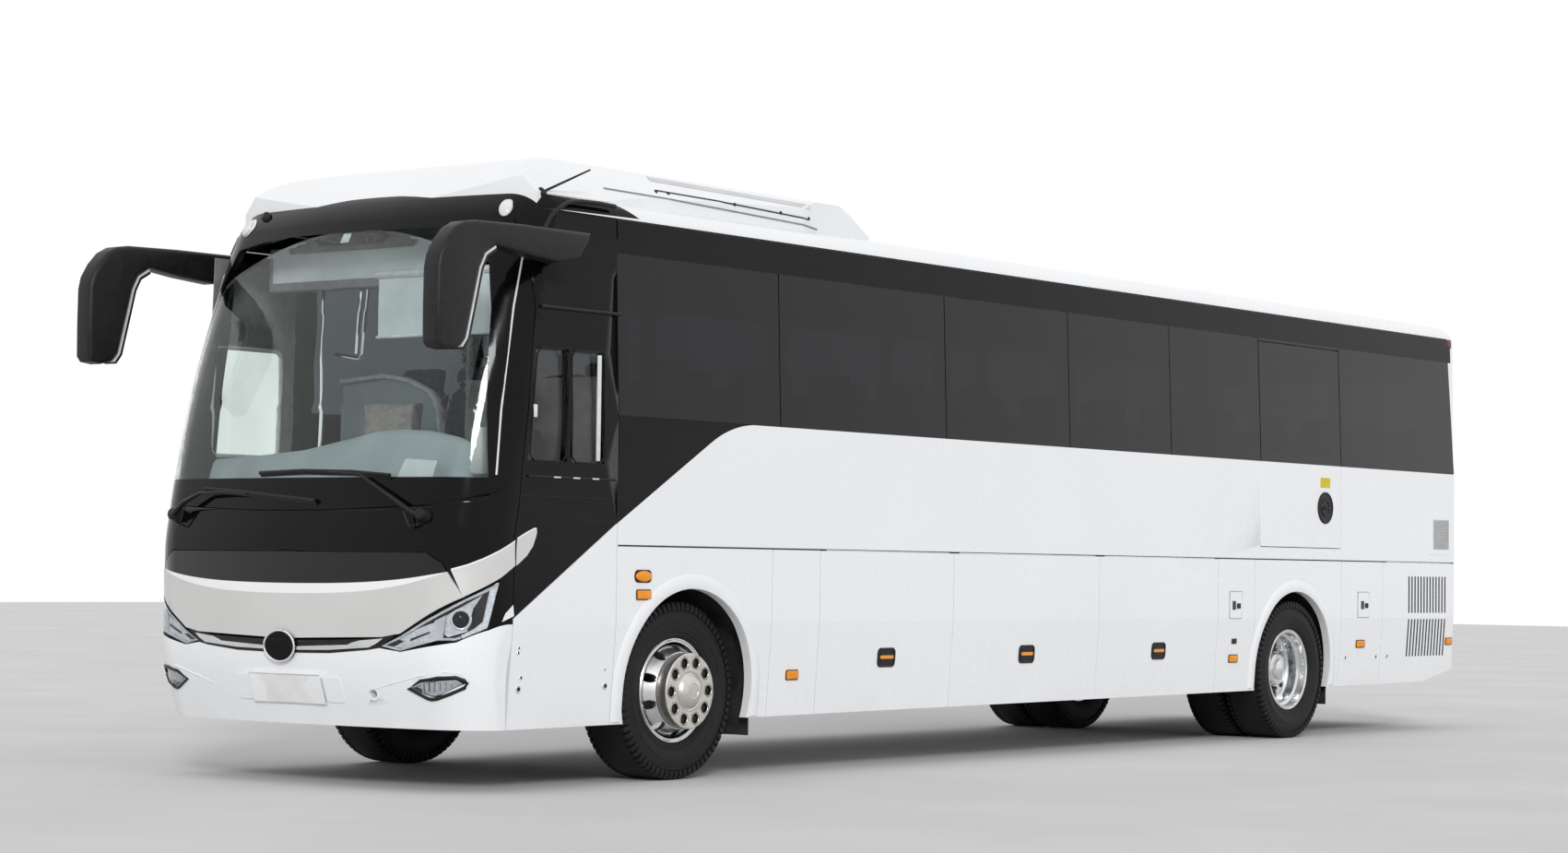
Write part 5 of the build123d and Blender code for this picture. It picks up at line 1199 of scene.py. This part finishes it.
for side_name, sign, _ in SIDES:
    made(f"front_{side_name}_hub_cover", hub_cover(sign), [HUB, MATT], f"front_{side_name}_wheel")

# %% Rims' bright rings and the rear dishes
# Profiles are rows of distance from the rim's face or the dish's face, and radius.
RIM_HALF, FLANGE_R = 0.118, 0.300
TWIN_X, TWIN_HALF = 0.920, 0.168
REAR_OUTER_X = TWIN_X + TWIN_HALF
DISH_FACE, DISH_R = 0.030, 0.232
RIM_EDGE = ((-0.012, 0.003), (0.0, 0.004), (0.006, -0.001), (0.006, -0.007), (0.001, -0.012),
            (-0.006, -0.022), (-0.030, -0.024))
DISH_WALL = ((-0.036, 0.246), (-0.044, 0.236), (-0.052, DISH_R))
DISH_HUB = ((-0.060, 0.136), (-0.052, 0.124), (0.004, 0.118), (0.012, 0.108), (0.012, 0.080), (0.030, 0.074),
            (0.034, 0.066), (0.034, 0.0))
DISH_NUT = ((-0.060, 0.017), (-0.036, 0.0165), (-0.030, 0.013), (-0.030, 0.0))
for side_name, sign, _ in SIDES:
    way = Vector((sign, 0, 0))
    for wheel, body, x, y in (("front", f"front_{side_name}_wheel", WHEEL_X, FRONT_AXLE_Y),
                              ("rear", f"rear_{side_name}_wheels", REAR_OUTER_X, REAR_AXLE_Y)):
        centre = Vector((sign * x, y, AXLE_Z))
        ring = bmesh.new()
        add_turned(ring, from_edge(RIM_HALF, RIM_EDGE, FLANGE_R), centre, way, 96)
        if wheel == "rear":
            slope = from_edge(RIM_HALF, ((-0.030, 0.276), (-0.050, 0.270), (-0.062, 0.252)))
            add_turned(ring, slope + from_edge(DISH_FACE, DISH_WALL), centre, way, 96)
        made(f"{wheel}_{side_name}_rim_ring", ring, DISH, body)
    dish = bmesh.new()
    foot = DISH_HUB[0]
    holed_face(dish, centre, way, from_edge(DISH_FACE, (foot, DISH_WALL[-1])), 0.024, 0.194, 10)
    add_turned(dish, from_edge(DISH_FACE, DISH_HUB), centre, way, 60)
    for place in around_axle(10, 0.152):
        add_turned(dish, from_edge(DISH_FACE, DISH_NUT), centre + place, way, 6, slot=1)
    made(f"rear_{side_name}_dish", dish, [DISH, IRON], f"rear_{side_name}_wheels")
print("front axle at y", FRONT_AXLE_Y, "rear axle at y", REAR_AXLE_Y)

# %% Rings on the tyres' walls
WALL_RINGS = ((0.326, 0.005), (0.342, 0.003), (0.398, 0.007), (0.452, 0.004), (0.466, 0.004))


def surface_of(node):
    """A CAD node's surface, for rays to find."""
    shape = bmesh.new()
    shape.from_mesh(NODES[node].data)
    tree = BVHTree.FromBMesh(shape)
    shape.free()
    return tree


for wheel, plural, axle_y in (("front", "", FRONT_AXLE_Y), ("rear", "s", REAR_AXLE_Y)):
    for side_name, sign, _ in SIDES:
        node, way = f"{wheel}_{side_name}_tyre{plural}", Vector((sign, 0, 0))
        tree = surface_of(node)
        rings = bmesh.new()
        for r, half in WALL_RINGS:
            wall = tree.ray_cast(Vector((sign * 1.6, axle_y, AXLE_Z + r)), -way)[0]
            add_turned(rings, ((-0.003, r - half - 0.004), (0.0022, r - half), (0.0028, r),
                               (0.0022, r + half), (-0.003, r + half + 0.004)),
                       (wall.x, axle_y, AXLE_Z), way, 96)
        made(f"{node}_wall_rings", rings, RUBBER, f"{wheel}_{side_name}_wheel{plural}")
print("rings on each tyre's wall:", len(WALL_RINGS))

# %% Tyre shoulders and tread
TREAD_BLOCKS = 72
REAR_INNER_X = TWIN_X - TWIN_HALF
TYRES = (("front_left", WHEEL_X, FRONT_AXLE_Y, "front_left_wheel"),
         ("front_right", -WHEEL_X, FRONT_AXLE_Y, "front_right_wheel"),
         ("rear_left_outer", REAR_OUTER_X, REAR_AXLE_Y, "rear_left_wheels"),
         ("rear_left_inner", REAR_INNER_X, REAR_AXLE_Y, "rear_left_wheels"),
         ("rear_right_outer", -REAR_OUTER_X, REAR_AXLE_Y, "rear_right_wheels"),
         ("rear_right_inner", -REAR_INNER_X, REAR_AXLE_Y, "rear_right_wheels"))
SHOULDER = ((0.152, 0.462), (0.1525, 0.488), (0.143, 0.5085), (0.112, 0.5125), (0.108, 0.500))


def shoulder_block():
    """One shoulder block on each edge, about the wheel's own axis."""
    form = bmesh.new()
    half = math.pi / TREAD_BLOCKS * 0.68
    for edge in (1, -1):
        bridge(form, [[form.verts.new((edge * x, r * math.cos(a), r * math.sin(a))) for x, r in SHOULDER]
                      for a in (-half, half)])
    return form


for name, x, y, body in TYRES:
    tread = repeated(f"{name}_tread", shoulder_block(), TREAD_BLOCKS, RUBBER, body,
                     turn=2 * math.pi / TREAD_BLOCKS)
    for v in tread.data.vertices:
        v.co += Vector((x, y, AXLE_Z))
print("tread blocks on each tyre:", 2 * TREAD_BLOCKS)

# %% [markdown]
# ## Mirrors
# Each mirror is a matt shell on a long arm that grows out of the roof's front corner,
# bends down ahead of the nose and carries the glass on its rear face, inside a pale lip.
# The side view is one outline pushed across the coach, and every edge is then rounded.

# %% Mirrors
MIRROR_IN, MIRROR_OUT = 1.292, 1.4185
SHELL = ((-4.955, 3.038), (-4.975, 2.985), (-5.040, 2.893), (-5.210, 2.856), (-5.462, 2.876), (-5.715, 2.908),
         (-5.800, 2.860), (-5.842, 2.779), (-5.893, 2.581), (-5.940, 2.400), (-5.985, 2.350), (-6.060, 2.333),
         (-6.130, 2.342), (-6.155, 2.372), (-6.158, 2.560), (-6.156, 2.760), (-6.140, 2.830), (-6.095, 2.905),
         (-6.030, 2.975), (-5.960, 3.012), (-5.870, 3.026), (-5.500, 3.036))
LIP = ((-5.715, 2.900), (-5.790, 2.856), (-5.832, 2.779), (-5.882, 2.581), (-5.928, 2.404), (-5.965, 2.358))
FOOT = ((-5.190, 2.905), (-5.070, 2.905), (-5.060, 3.000), (-5.180, 3.000))
ROUND, FOOT_ROUND = 0.024, 0.010


def plate_between(mesh, outline, x0, x1, round_r):
    """A side-view outline pushed from x0 to x1, with rounded edges."""
    part = bmesh.new()
    face = part.faces.new([part.verts.new((x0, y, z)) for y, z in outline])
    grown(part, [face], 0, x1)
    bmesh.ops.recalc_face_normals(part, faces=part.faces)
    rims = [e for e in part.edges if abs(e.verts[0].co.x - e.verts[1].co.x) < 1e-6]
    bmesh.ops.bevel(part, geom=rims, offset=round_r, segments=4, affect="EDGES", profile=0.5)
    poured(mesh, part)


def glass_y(z):
    """The rear face of the shell, where the glass stands."""
    return -5.928 + (z - 2.404) * 0.256 + 0.030


shells, lip_parts, glass = bmesh.new(), bmesh.new(), bmesh.new()
for sign in (1, -1):
    x0, x1 = sorted((sign * MIRROR_IN, sign * MIRROR_OUT))
    plate_between(shells, SHELL, x0, x1, ROUND)
    for inset, wide, mesh in ((0.0, 0.014, lip_parts), (0.014, 0.016, shells)):
        rings = []
        for k, (y, z) in enumerate(LIP):
            before, after = LIP[max(k - 1, 0)], LIP[min(k + 1, len(LIP) - 1)]
            along = Vector((0, after[0] - before[0], after[1] - before[1])).normalized()
            out = Vector((0, -along.z, along.y))
            out = out if out.y > 0 or out.z < 0 else -out
            here = Vector((0, y, z)) + out * (inset - 0.004)
            rings.append([mesh.verts.new(Vector((x, 0, 0)) + here + out * push) for x, push in
                          ((x0 + 0.012, 0), (x1 - 0.012, 0), (x1 - 0.014, wide), (x0 + 0.014, wide))])
        bridge(mesh, rings)
    for low, high in ((2.40, 2.575), (2.590, 2.78)):
        corners = [(x, glass_y(z), z) for x, z in
                   ((x0 + 0.02, low), (x1 - 0.02, low), (x1 - 0.02, high), (x0 + 0.02, high))]
        bridge(glass, [[glass.verts.new((x, y - back, z)) for x, y, z in corners] for back in (0.0, 0.006)])
    plate_between(shells, FOOT, *sorted((sign * 1.170, sign * (MIRROR_IN + 0.01))), FOOT_ROUND)
mirror_shells = made("mirror_shells", shells, MATT, angle=35)
made("mirror_lips", lip_parts, PALE_PLASTIC)
made("mirror_glass", glass, CHROME)
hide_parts("mirrors")

# %% [markdown]
# ## Side panes
# The panes are one node, but the entrance door's and the driver's are clearer than the
# passengers'. In a merged copy the panes in front of the first seam take a glass of their
# own: a light tint on the driver's side and clear glass on the door's.

# %% Panes with their tints
PASSENGERS_FROM = -4.50
panes = merged_copy("tinted_glass", "side_panes")
panes.data.materials.clear()
for finish in (TINTED, LIGHT_TINT, CLEAR):
    panes.data.materials.append(finish)
for face in panes.data.polygons:
    if face.center.y < PASSENGERS_FROM:
        face.material_index = 2 if face.center.x < 0 else 1
soften(panes)
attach(panes, "body")
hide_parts("tinted_glass")

# %% [markdown]
# ## The glass over the mask
# The CAD's mask closes part of the area behind the glass. On the coach the glass is clear
# up to the painted border, so the copy of the mask is opened there.

# %% Opening the mask behind the glass
OPENING = ((0.0, 1.676), (1.300, 1.676), (1.235, 2.050), (1.135, 2.600), (1.055, 2.860), (1.000, 3.030),
           (0.600, 3.090), (0.0, 3.096))


def opened(piece, outline, y0, y1):
    """The piece with a prism of the outline cut out of it, on both sides of the middle."""
    edge = [skin(s, z) for s, z in outline]
    ring = [(p.x, p.z) for p in edge] + [(-p.x, p.z) for p in reversed(edge[1:-1])]
    mesh = bmesh.new()
    near, far = ([mesh.verts.new((x, y, z)) for x, z in ring] for y in (y0, y1))
    for end in (near, far[::-1]):
        mesh.faces.new(end)
    bridge(mesh, [far, near], caps=False)
    bmesh.ops.recalc_face_normals(mesh, faces=mesh.faces)
    data = bpy.data.meshes.new("opening")
    mesh.to_mesh(data)
    mesh.free()
    cutter = placed("opening", data)
    cut = piece.modifiers.new("cut", "BOOLEAN")
    cut.operation = "DIFFERENCE"
    cut.solver = "EXACT"
    cut.object = cutter
    bpy.context.view_layer.update()
    done = settled(piece)
    piece.modifiers.remove(cut)
    piece.data = done
    bpy.data.objects.remove(cutter)
    return len(done.polygons)


print("faces of the opened mask:", opened(SMOOTH["front_mask"], OPENING, -6.40, -5.16))

# %% [markdown]
# ## Rear corner lamps
# A dark red lens wraps each upper rear corner, and a small reflector sits low on the
# corner. Rays cast inwards find the CAD's surface for them.

# %% Rear corner lamps
POST_X, POST_Y = 1.000, 5.880
CORNER_TREES = [surface_of(node) for node in ("rear_wall", "window_bands", "roof")]


def on_corner(sign, degrees, z, proud):
    """A point on the coach's rear corner, seen from a post inside it."""
    way = Vector((sign * math.cos(math.radians(degrees)), math.sin(math.radians(degrees)), 0))
    post = Vector((sign * POST_X, POST_Y, z))
    hits = [tree.ray_cast(post + way * 0.6, -way)[0] for tree in CORNER_TREES]
    reach = max([(hit - post).dot(way) for hit in hits if hit] or [0.2])
    return post + way * (reach + proud)


def corner_piece(name, rows, proud, finish):
    """A lens over the corner from rows of (degrees, low z, high z)."""
    mesh = bmesh.new()
    for sign in (1, -1):
        cuts = []
        for degrees, low, high in rows:
            mid = (low + high) / 2
            cuts.append([mesh.verts.new(on_corner(sign, degrees, z, push)) for z, push in
                         ((low, -0.006), (low, proud * 0.6), (mid, proud), (high, proud * 0.6),
                          (high, -0.006))])
        bridge(mesh, cuts)
    return made(name, mesh, finish)


DARK_RED = mottled("dark_red_lens", (0.090, 0.010, 0.016), (0.13, 0.014, 0.022), 0.12, 10.0,
                   (300.0, 0.15, 0.0008))
RED_REFLECTOR = mottled("red_reflector", (0.45, 0.01, 0.02), (0.55, 0.02, 0.03), 0.2, 10.0,
                        (300.0, 0.15, 0.0008))
LENS_ROWS = [(8 + 9 * k, 3.150 - 0.018 * k, 3.166) for k in range(8)]
corner_piece("upper_rear_lenses", LENS_ROWS, 0.006, DARK_RED)
corner_piece("lower_rear_reflectors", [(degrees, 0.530, 0.612) for degrees in range(44, 75, 6)], 0.006,
             RED_REFLECTOR)

# %% [markdown]
# ## Lines on the roof pod
# The pod carries a grey groove along its foot, a thin dark rail with small studs above it,
# and a shallow sunken strip near its top edge, drawn as a grey-blue sheet of painted shade.
# They are found on the pod by rays from the side, so they follow its slopes.

# %% Roof pod lines
POD_TREE = surface_of("roof_pod")
RAIL_STEP = 0.05


def on_pod(sign, y, z, proud):
    hit, out, *_ = POD_TREE.ray_cast(Vector((sign * 1.6, y, z)), Vector((-sign, 0, 0)))
    return hit + out * proud if hit else None


def pod_row(sign, y0, y1, z0, z1, proud):
    """Points on the pod along a level line from (y0, z0) to (y1, z1)."""
    count = round((y1 - y0) / RAIL_STEP)
    row = (on_pod(sign, y0 + (y1 - y0) * k / count, z0 + (z1 - z0) * k / count, proud)
           for k in range(count + 1))
    return [point for point in row if point]


pod_lines = bmesh.new()
for sign in (1, -1):
    add_tube(pod_lines, pod_row(sign, -3.95, -2.35, 3.398, 3.383, 0.002), 0.0045, 6)
    add_tube(pod_lines, pod_row(sign, -4.45, -2.20, 3.358, 3.340, 0.001), 0.009, 6, 0.5, slot=1)
    for y in (-3.95, -3.84, -3.20, -2.70, -2.35):
        spot = on_pod(sign, y, 3.390, 0.0)
        if spot:
            add_turned(pod_lines, ((0.0, 0.011), (0.007, 0.010), (0.009, 0.0)), spot, (sign, 0, 0.4), 10)
    # The sunken strip is a grey-blue sheet laid on the pod: painted shade of its recess.
    low, high = (pod_row(sign, -3.90, -2.32, z - 0.016, z - 0.030, 0.0016) for z in (3.478, 3.508))
    for k in range(min(len(low), len(high)) - 1):
        quad = [pod_lines.verts.new(p) for p in (low[k], low[k + 1], high[k + 1], high[k])]
        pod_lines.faces.new(quad).material_index = 2
print("pod line faces:", len(pod_lines.faces))
POD_STRIP_SHADE = mottled("pod_strip_painted_shade", (0.55, 0.56, 0.59), (0.60, 0.61, 0.64), 0.4)
made("roof_pod_lines", pod_lines, [MATT, GREY, POD_STRIP_SHADE])

# %% [markdown]
# ## Seats
# The seats are soft, so each cushion and back is a closed form that is blown up a little
# by a cloth simulation and then kept as a mesh. Behind tinted glass one seat is enough to
# simulate: its copies fill the rows. The driver's and the guide's seats are simulated on
# finer meshes, because they show through the windscreen.

# %% Padding by cloth simulation
def padded_form(name, parts, voxel, cap=0.020, frames=20):
    """Rounded blocks (low, high, lean) as one even mesh that cloth simulation has blown up."""
    mesh = bmesh.new()
    for low, high, lean in parts:
        part = bmesh.new()
        add_block(part, low, high, 0.022)
        for v in part.verts:
            v.co.y += lean * (v.co.z - low[2])
        poured(mesh, part)
    bmesh.ops.recalc_face_normals(mesh, faces=mesh.faces)
    data = bpy.data.meshes.new(name)
    mesh.to_mesh(data)
    mesh.free()
    form = placed(name, data)
    remesh = form.modifiers.new("remesh", "REMESH")
    remesh.mode = "VOXEL"
    remesh.voxel_size = voxel
    bpy.context.view_layer.update()
    even = settled(form)
    form.modifiers.clear()
    form.data = even
    start = [v.co.copy() for v in even.vertices]
    cloth = form.modifiers.new("cloth", "CLOTH")
    cloth.settings.use_pressure = True
    cloth.settings.uniform_pressure_force = 4.0
    cloth.settings.effector_weights.gravity = 0.0
    cloth.point_cache.frame_start = 1
    cloth.point_cache.frame_end = frames
    for frame_number in range(1, frames + 1):
        bpy.context.scene.frame_set(frame_number)
    blown = settled(form)
    form.modifiers.clear()
    bpy.context.scene.frame_set(1)
    for v, was in zip(blown.vertices, start):
        move = v.co - was
        if move.length > cap:
            v.co = was + move.normalized() * cap
    form.data = blown
    result = form.data
    bpy.data.objects.remove(form)
    return result


def padded_piece(name, data, places, finish):
    """A soft piece with the padded mesh set at each place."""
    mesh = bmesh.new()
    for place in places:
        first = len(mesh.verts)
        mesh.from_mesh(data)
        mesh.verts.ensure_lookup_table()
        for v in mesh.verts[first:]:
            v.co += Vector(place)
    piece = made(name, mesh, finish, angle=60)
    return piece


# %% Passenger seats
SEAT_ROWS, SEAT_FIRST, SEAT_LAST = 13, FRONT + 1.324 + 0.700, REAR - 0.120 - 0.240
FLOOR_Z, SEAT_WIDE = 1.345, 0.405
CUSHION = ((0.0, -0.465, 0.325), (SEAT_WIDE, -0.060, 0.425), 0.0)
BACK = ((0.0, -0.055, 0.440), (SEAT_WIDE, 0.045, 0.940), 0.13)
HEADREST = ((0.05, 0.020, 0.960), (SEAT_WIDE - 0.05, 0.095, 1.095), 0.13)
cushion = padded_form("passenger_seat_pad", [CUSHION, BACK, HEADREST], 0.020, 0.016)
rows = [SEAT_FIRST + n * (SEAT_LAST - SEAT_FIRST) / (SEAT_ROWS - 1) for n in range(SEAT_ROWS)]
for side_name, starts in (("left", (0.315, 0.765)), ("right", (-0.315 - SEAT_WIDE, -0.765 - SEAT_WIDE))):
    places = [(x, y, FLOOR_Z) for y in rows for x in starts]
    pads = padded_piece(f"{side_name}_passenger_seats", cushion, places, SEAT)
    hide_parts("seats")
frames_mesh = bmesh.new()
for y in rows:
    for sign in (1, -1):
        x0, x1 = sorted((sign * 0.32, sign * 1.17))
        add_block(frames_mesh, (x0, y - 0.46, FLOOR_Z + 0.285), (x1, y - 0.07, FLOOR_Z + 0.318), 0.004)
        for x in (0.50, 1.05):
            leg = [Vector((sign * x, y - 0.26, z)) for z in (FLOOR_Z, FLOOR_Z + 0.30)]
            add_tube(frames_mesh, leg, 0.03, 8)
        for x in (0.308, 0.742, 1.176):
            low, high = sorted((sign * (x - 0.012), sign * (x + 0.012)))
            add_block(frames_mesh, (low, y - 0.34, FLOOR_Z + 0.55), (high, y - 0.02, FLOOR_Z + 0.60), 0.008)
made("passenger_seat_frames", frames_mesh, DARK)
print("passenger seats:", 4 * SEAT_ROWS)

# %% Driver's and guide's seats
PLATFORM_Z = 0.940


def cab_seat(name, stand_name, x, y, parts, stand, voxel, cap, finish):
    """A padded seat and the blocks under it. The parts and blocks are counted from its place."""
    pad = padded_form(name + "_pad", parts, voxel, cap)
    padded_piece(name, pad, [(x, y, PLATFORM_Z)], finish)
    blocks(stand_name, DARK, *(((x - half, y + y0, PLATFORM_Z + z0), (x + half, y + y1, PLATFORM_Z + z1), r)
                               for half, y0, y1, z0, z1, r in stand))


cab_seat("driver_seat_pads", "driver_seat_pedestal", 0.600, -4.810,
         [((-0.230, -0.400, 0.360), (0.230, 0.020, 0.470), 0.0),
          ((-0.220, 0.020, 0.500), (0.220, 0.115, 1.060), 0.085),
          ((-0.135, 0.085, 1.085), (0.135, 0.160, 1.270), 0.085)],
         ((0.17, -0.27, 0.05, 0.0, 0.30, 0.03), (0.21, -0.36, 0.02, 0.29, 0.35, 0.015)), 0.008, 0.016, SEAT)
cab_seat("guide_seat", "guide_seat_leg", -0.345, -4.760,
         [((-0.225, -0.400, 0.420), (0.225, -0.010, 0.530), 0.0),
          ((-0.215, 0.0, 0.560), (0.215, 0.095, 1.235), 0.075)],
         ((0.08, -0.30, -0.08, 0.0, 0.39, 0.02), (0.20, -0.37, -0.03, 0.37, 0.41, 0.012)), 0.010, 0.018,
         COVER_CLOTH)

# %% [markdown]
# ## Cab
# Through the windscreen the photograph shows a moulded dashboard with a hump over the
# instruments, a pale destination sign, a roller blind, hand rails, a partition with an
# arched rail, and a few small things by the pillar.

# %% Dashboard
CREST_Y, CREST = -5.460, ((-1.05, 1.800), (-0.62, 1.822), (-0.25, 1.850), (0.08, 1.905), (0.30, 1.945),
                          (0.50, 1.955), (0.72, 1.945), (0.93, 1.905), (1.12, 1.830))
RISE = ((0.0, 0.0), (0.18, 0.06), (0.40, 0.32), (0.60, 0.66), (0.80, 0.91), (1.0, 1.0))
BEHIND = ((0.024, 0.985), (0.046, 0.88), (0.058, 0.40), (0.062, -0.20), (0.064, -1.40))
COLUMNS, DASH_FOOT = 61, 1.625
dash = bmesh.new()
rings = []
for k in range(COLUMNS):
    x = -0.985 + 2.110 * k / (COLUMNS - 1)
    high = read_table(CREST, x) - DASH_FOOT
    front = -5.665 + 0.5 * x * x / BOW + max(abs(x) - 0.95, 0) * 1.2
    line = [(front + (CREST_Y - front) * t, h) for t, h in RISE] + [(CREST_Y + back, h) for back, h in BEHIND]
    rings.append([dash.verts.new((x, y, DASH_FOOT + high * h)) for y, h in line])
bridge(dash, rings, wrap=False, caps=False)
top = made("dashboard_top", dash, DASH_GREY_AND_SKY_TINT, angle=50)
thick = top.modifiers.new("thick", "SOLIDIFY")
thick.thickness = 0.006
thick.offset = 1.0
smooth = top.modifiers.new("smooth", "SUBSURF")
smooth.levels = smooth.render_levels = 1

# %% Signs, blinds and rails
SIGN_Y, BLIND_Y = -5.060, -5.176
blocks("destination_sign_case", GREY, ((-1.000, SIGN_Y, 2.800), (0.330, -4.980, 3.060), 0.012))
blocks("destination_sign_face", BLIND, ((-0.960, -5.067, 2.850), (0.290, -5.058, 3.020), 0.006))
blocks("driver_blind", BLIND, ((0.020, BLIND_Y, 2.500), (1.020, -5.172, 2.830)))
rods("driver_blind_bars", PALE_PLASTIC, (((0.010, BLIND_Y, 2.497), (1.030, BLIND_Y, 2.497)), 0.009, 8),
     (((0.010, -5.170, 2.850), (1.030, -5.170, 2.850)), 0.024, 12))
RAILS = (((-0.304, -4.90, 3.10), (-0.380, -4.90, 2.43), (-0.400, -4.90, 2.405), (-0.590, -4.90, 2.435)),
         ((-0.358, -4.90, 3.10), (-0.424, -4.90, 2.435)), ((-0.852, -4.75, 3.05), (-0.880, -4.75, 0.80)),
         ((0.160, -4.571, 0.945), (0.160, -4.571, 3.00)),
         ((-0.560, -5.16, 0.62), (-0.560, -5.16, 1.70), (-0.560, -5.30, 1.74), (-0.560, -5.40, 1.60)))
rods("cab_hand_rails", CHROME, *((points, 0.012) for points in RAILS))

GUARD_Y = -4.250
ARCH = ((-1.180, 2.300), (-1.163, 2.326), (-0.795, 2.350), (-0.600, 2.320), (-0.426, 2.247), (-0.345, 2.140),
        (-0.321, 1.964))
GUARD_FOOT, GUARD_HALF = 1.350, 0.016
guard = bmesh.new()
outline = [(ARCH[0][0], GUARD_FOOT), *ARCH, (ARCH[-1][0], GUARD_FOOT)]
bridge(guard, [[guard.verts.new((x, y, z)) for x, z in outline]
               for y in (GUARD_Y - GUARD_HALF, GUARD_Y + GUARD_HALF)])
made("guard_panel", guard, DASH_GREY_AND_SKY_TINT)
rods("guard_rail", PALE_PLASTIC, ([(x, GUARD_Y - 0.030, z) for x, z in ARCH[1:]], 0.026, 10, 0.7))

# %% Entrance door's inner panel
WINDOW_Y0, WINDOW_Y1, WINDOW_LOW, WINDOW_HIGH = -5.270, -4.735, 1.840, 2.480
WINDOW = rounded(WINDOW_Y0, WINDOW_Y1, WINDOW_LOW, WINDOW_HIGH, 0.050)
DOOR_LOW, DOOR_HIGH = 1.560, 3.000
middle, centre_z = (WINDOW_Y0 + WINDOW_Y1) / 2, (WINDOW_LOW + WINDOW_HIGH) / 2
inner_panel = bmesh.new()
for way, edge_y in ((-1, -5.300), (1, -4.538)):
    half = [p for p in WINDOW if (p[0] - middle) * way > 0]
    half.sort(key=lambda p: math.atan2(p[1] - centre_z, abs(p[0] - middle)))
    ring = [(middle, DOOR_LOW), (edge_y, DOOR_LOW), (edge_y, DOOR_HIGH), (middle, DOOR_HIGH),
            (middle, WINDOW_HIGH)]
    lay(inner_panel, ring + half[::-1] + [(middle, WINDOW_LOW)], -0.034, 0.008, far_flank, 0.2)
made("door_inner_panel", inner_panel, GREY)
rim = bmesh.new()
add_tube(rim, [far_flank(y, z, -0.038) for y, z in WINDOW], 0.014, 8, closed=True)
made("door_window_rim", rim, PALE_PLASTIC)

# %% Small things by the windscreen
blocks("pillar_box", PALE_PLASTIC, ((1.040, -5.500, 1.700), (1.125, -5.380, 1.960), 0.018))
laid("dash_papers", [((0.720, 1.640), (0.960, 1.640), (0.985, 1.772), (0.775, 1.785))], -0.020, 0.001, BLIND)
laid("screen_tag", [((-0.085, 3.020), (-0.020, 3.022), (-0.018, 3.076), (-0.080, 3.074))], -0.010, 0.001,
     BLIND)
round_mirror = bmesh.new()
add_turned(round_mirror, ((-0.03, 0.0), (-0.02, 0.045), (0.0, 0.055), (0.012, 0.050), (0.014, 0.0)),
           (1.040, -5.330, 2.050), (-0.3, -0.8, 0.1), 24)
add_tube(round_mirror, [Vector(p) for p in ((1.045, -5.320, 2.05), (1.090, -5.300, 2.01),
                                            (1.110, -5.300, 1.93))], 0.007, 8)
made("cab_round_mirror", round_mirror, DARK)
holder = bmesh.new()
add_tube(holder, [Vector(p) for p in ((0.19, -5.40, 1.66), (0.19, -5.41, 1.71), (0.20, -5.42, 1.735))],
         0.008, 8)
add_block(holder, (0.165, -5.435, 1.72), (0.235, -5.415, 1.80), 0.006)
made("dash_holder", holder, DARK)

# %% [markdown]
# ## Floor and daylight
# A pale floor takes the coach's shadow. The sky is even and bright, and one broad, soft sun
# from the front corner gives the panels their form.

# %% Floor
def floor_finish():
    recipe = Recipe("pale_floor", Roughness=0.8)
    wide = recipe.spread(recipe.cloud(0.6, 5.0), 0.3, 0.7)
    recipe.put("Base Color", recipe.blend(wide, (0.60, 0.60, 0.60), (0.66, 0.66, 0.655)))
    return recipe.finish


REACH = 60
ground = bpy.data.meshes.new("floor")
ground.from_pydata([(-REACH, -REACH, 0), (REACH, -REACH, 0), (REACH, REACH, 0), (-REACH, REACH, 0)], [],
                   [(0, 1, 2, 3)])
floor = placed("floor", ground)
dress(floor_finish(), floor)

# %% Light
SKY, SUN = 0.74, 1.40
world = bpy.data.worlds.new("daylight")
world.use_nodes = True
bpy.context.scene.world = world
sky = world.node_tree
back = sky.nodes["Background"]
back.inputs["Color"].default_value = (1.0, 1.0, 1.0, 1.0)
path = sky.nodes.new("ShaderNodeLightPath")
white = path.outputs["Is Camera Ray"]
for ray in ("Is Glossy Ray", "Is Transmission Ray"):
    either = sky.nodes.new("ShaderNodeMath")
    either.operation = "MAXIMUM"
    sky.links.new(white, either.inputs[0])
    sky.links.new(path.outputs[ray], either.inputs[1])
    white = either.outputs[0]
strength = sky.nodes.new("ShaderNodeMapRange")
sky.links.new(white, strength.inputs["Value"])
strength.inputs["To Min"].default_value = SKY
strength.inputs["To Max"].default_value = 1.0
sky.links.new(strength.outputs[0], back.inputs["Strength"])

lamp = bpy.data.lights.new("sun", "SUN")
lamp.energy = SUN
lamp.angle = math.radians(12)
sun = placed("sun", lamp)
sun.rotation_euler = Vector((-0.60, 0.66, -0.42)).to_track_quat("-Z", "Y").to_euler()

bpy.context.scene.view_settings.view_transform = "Standard"
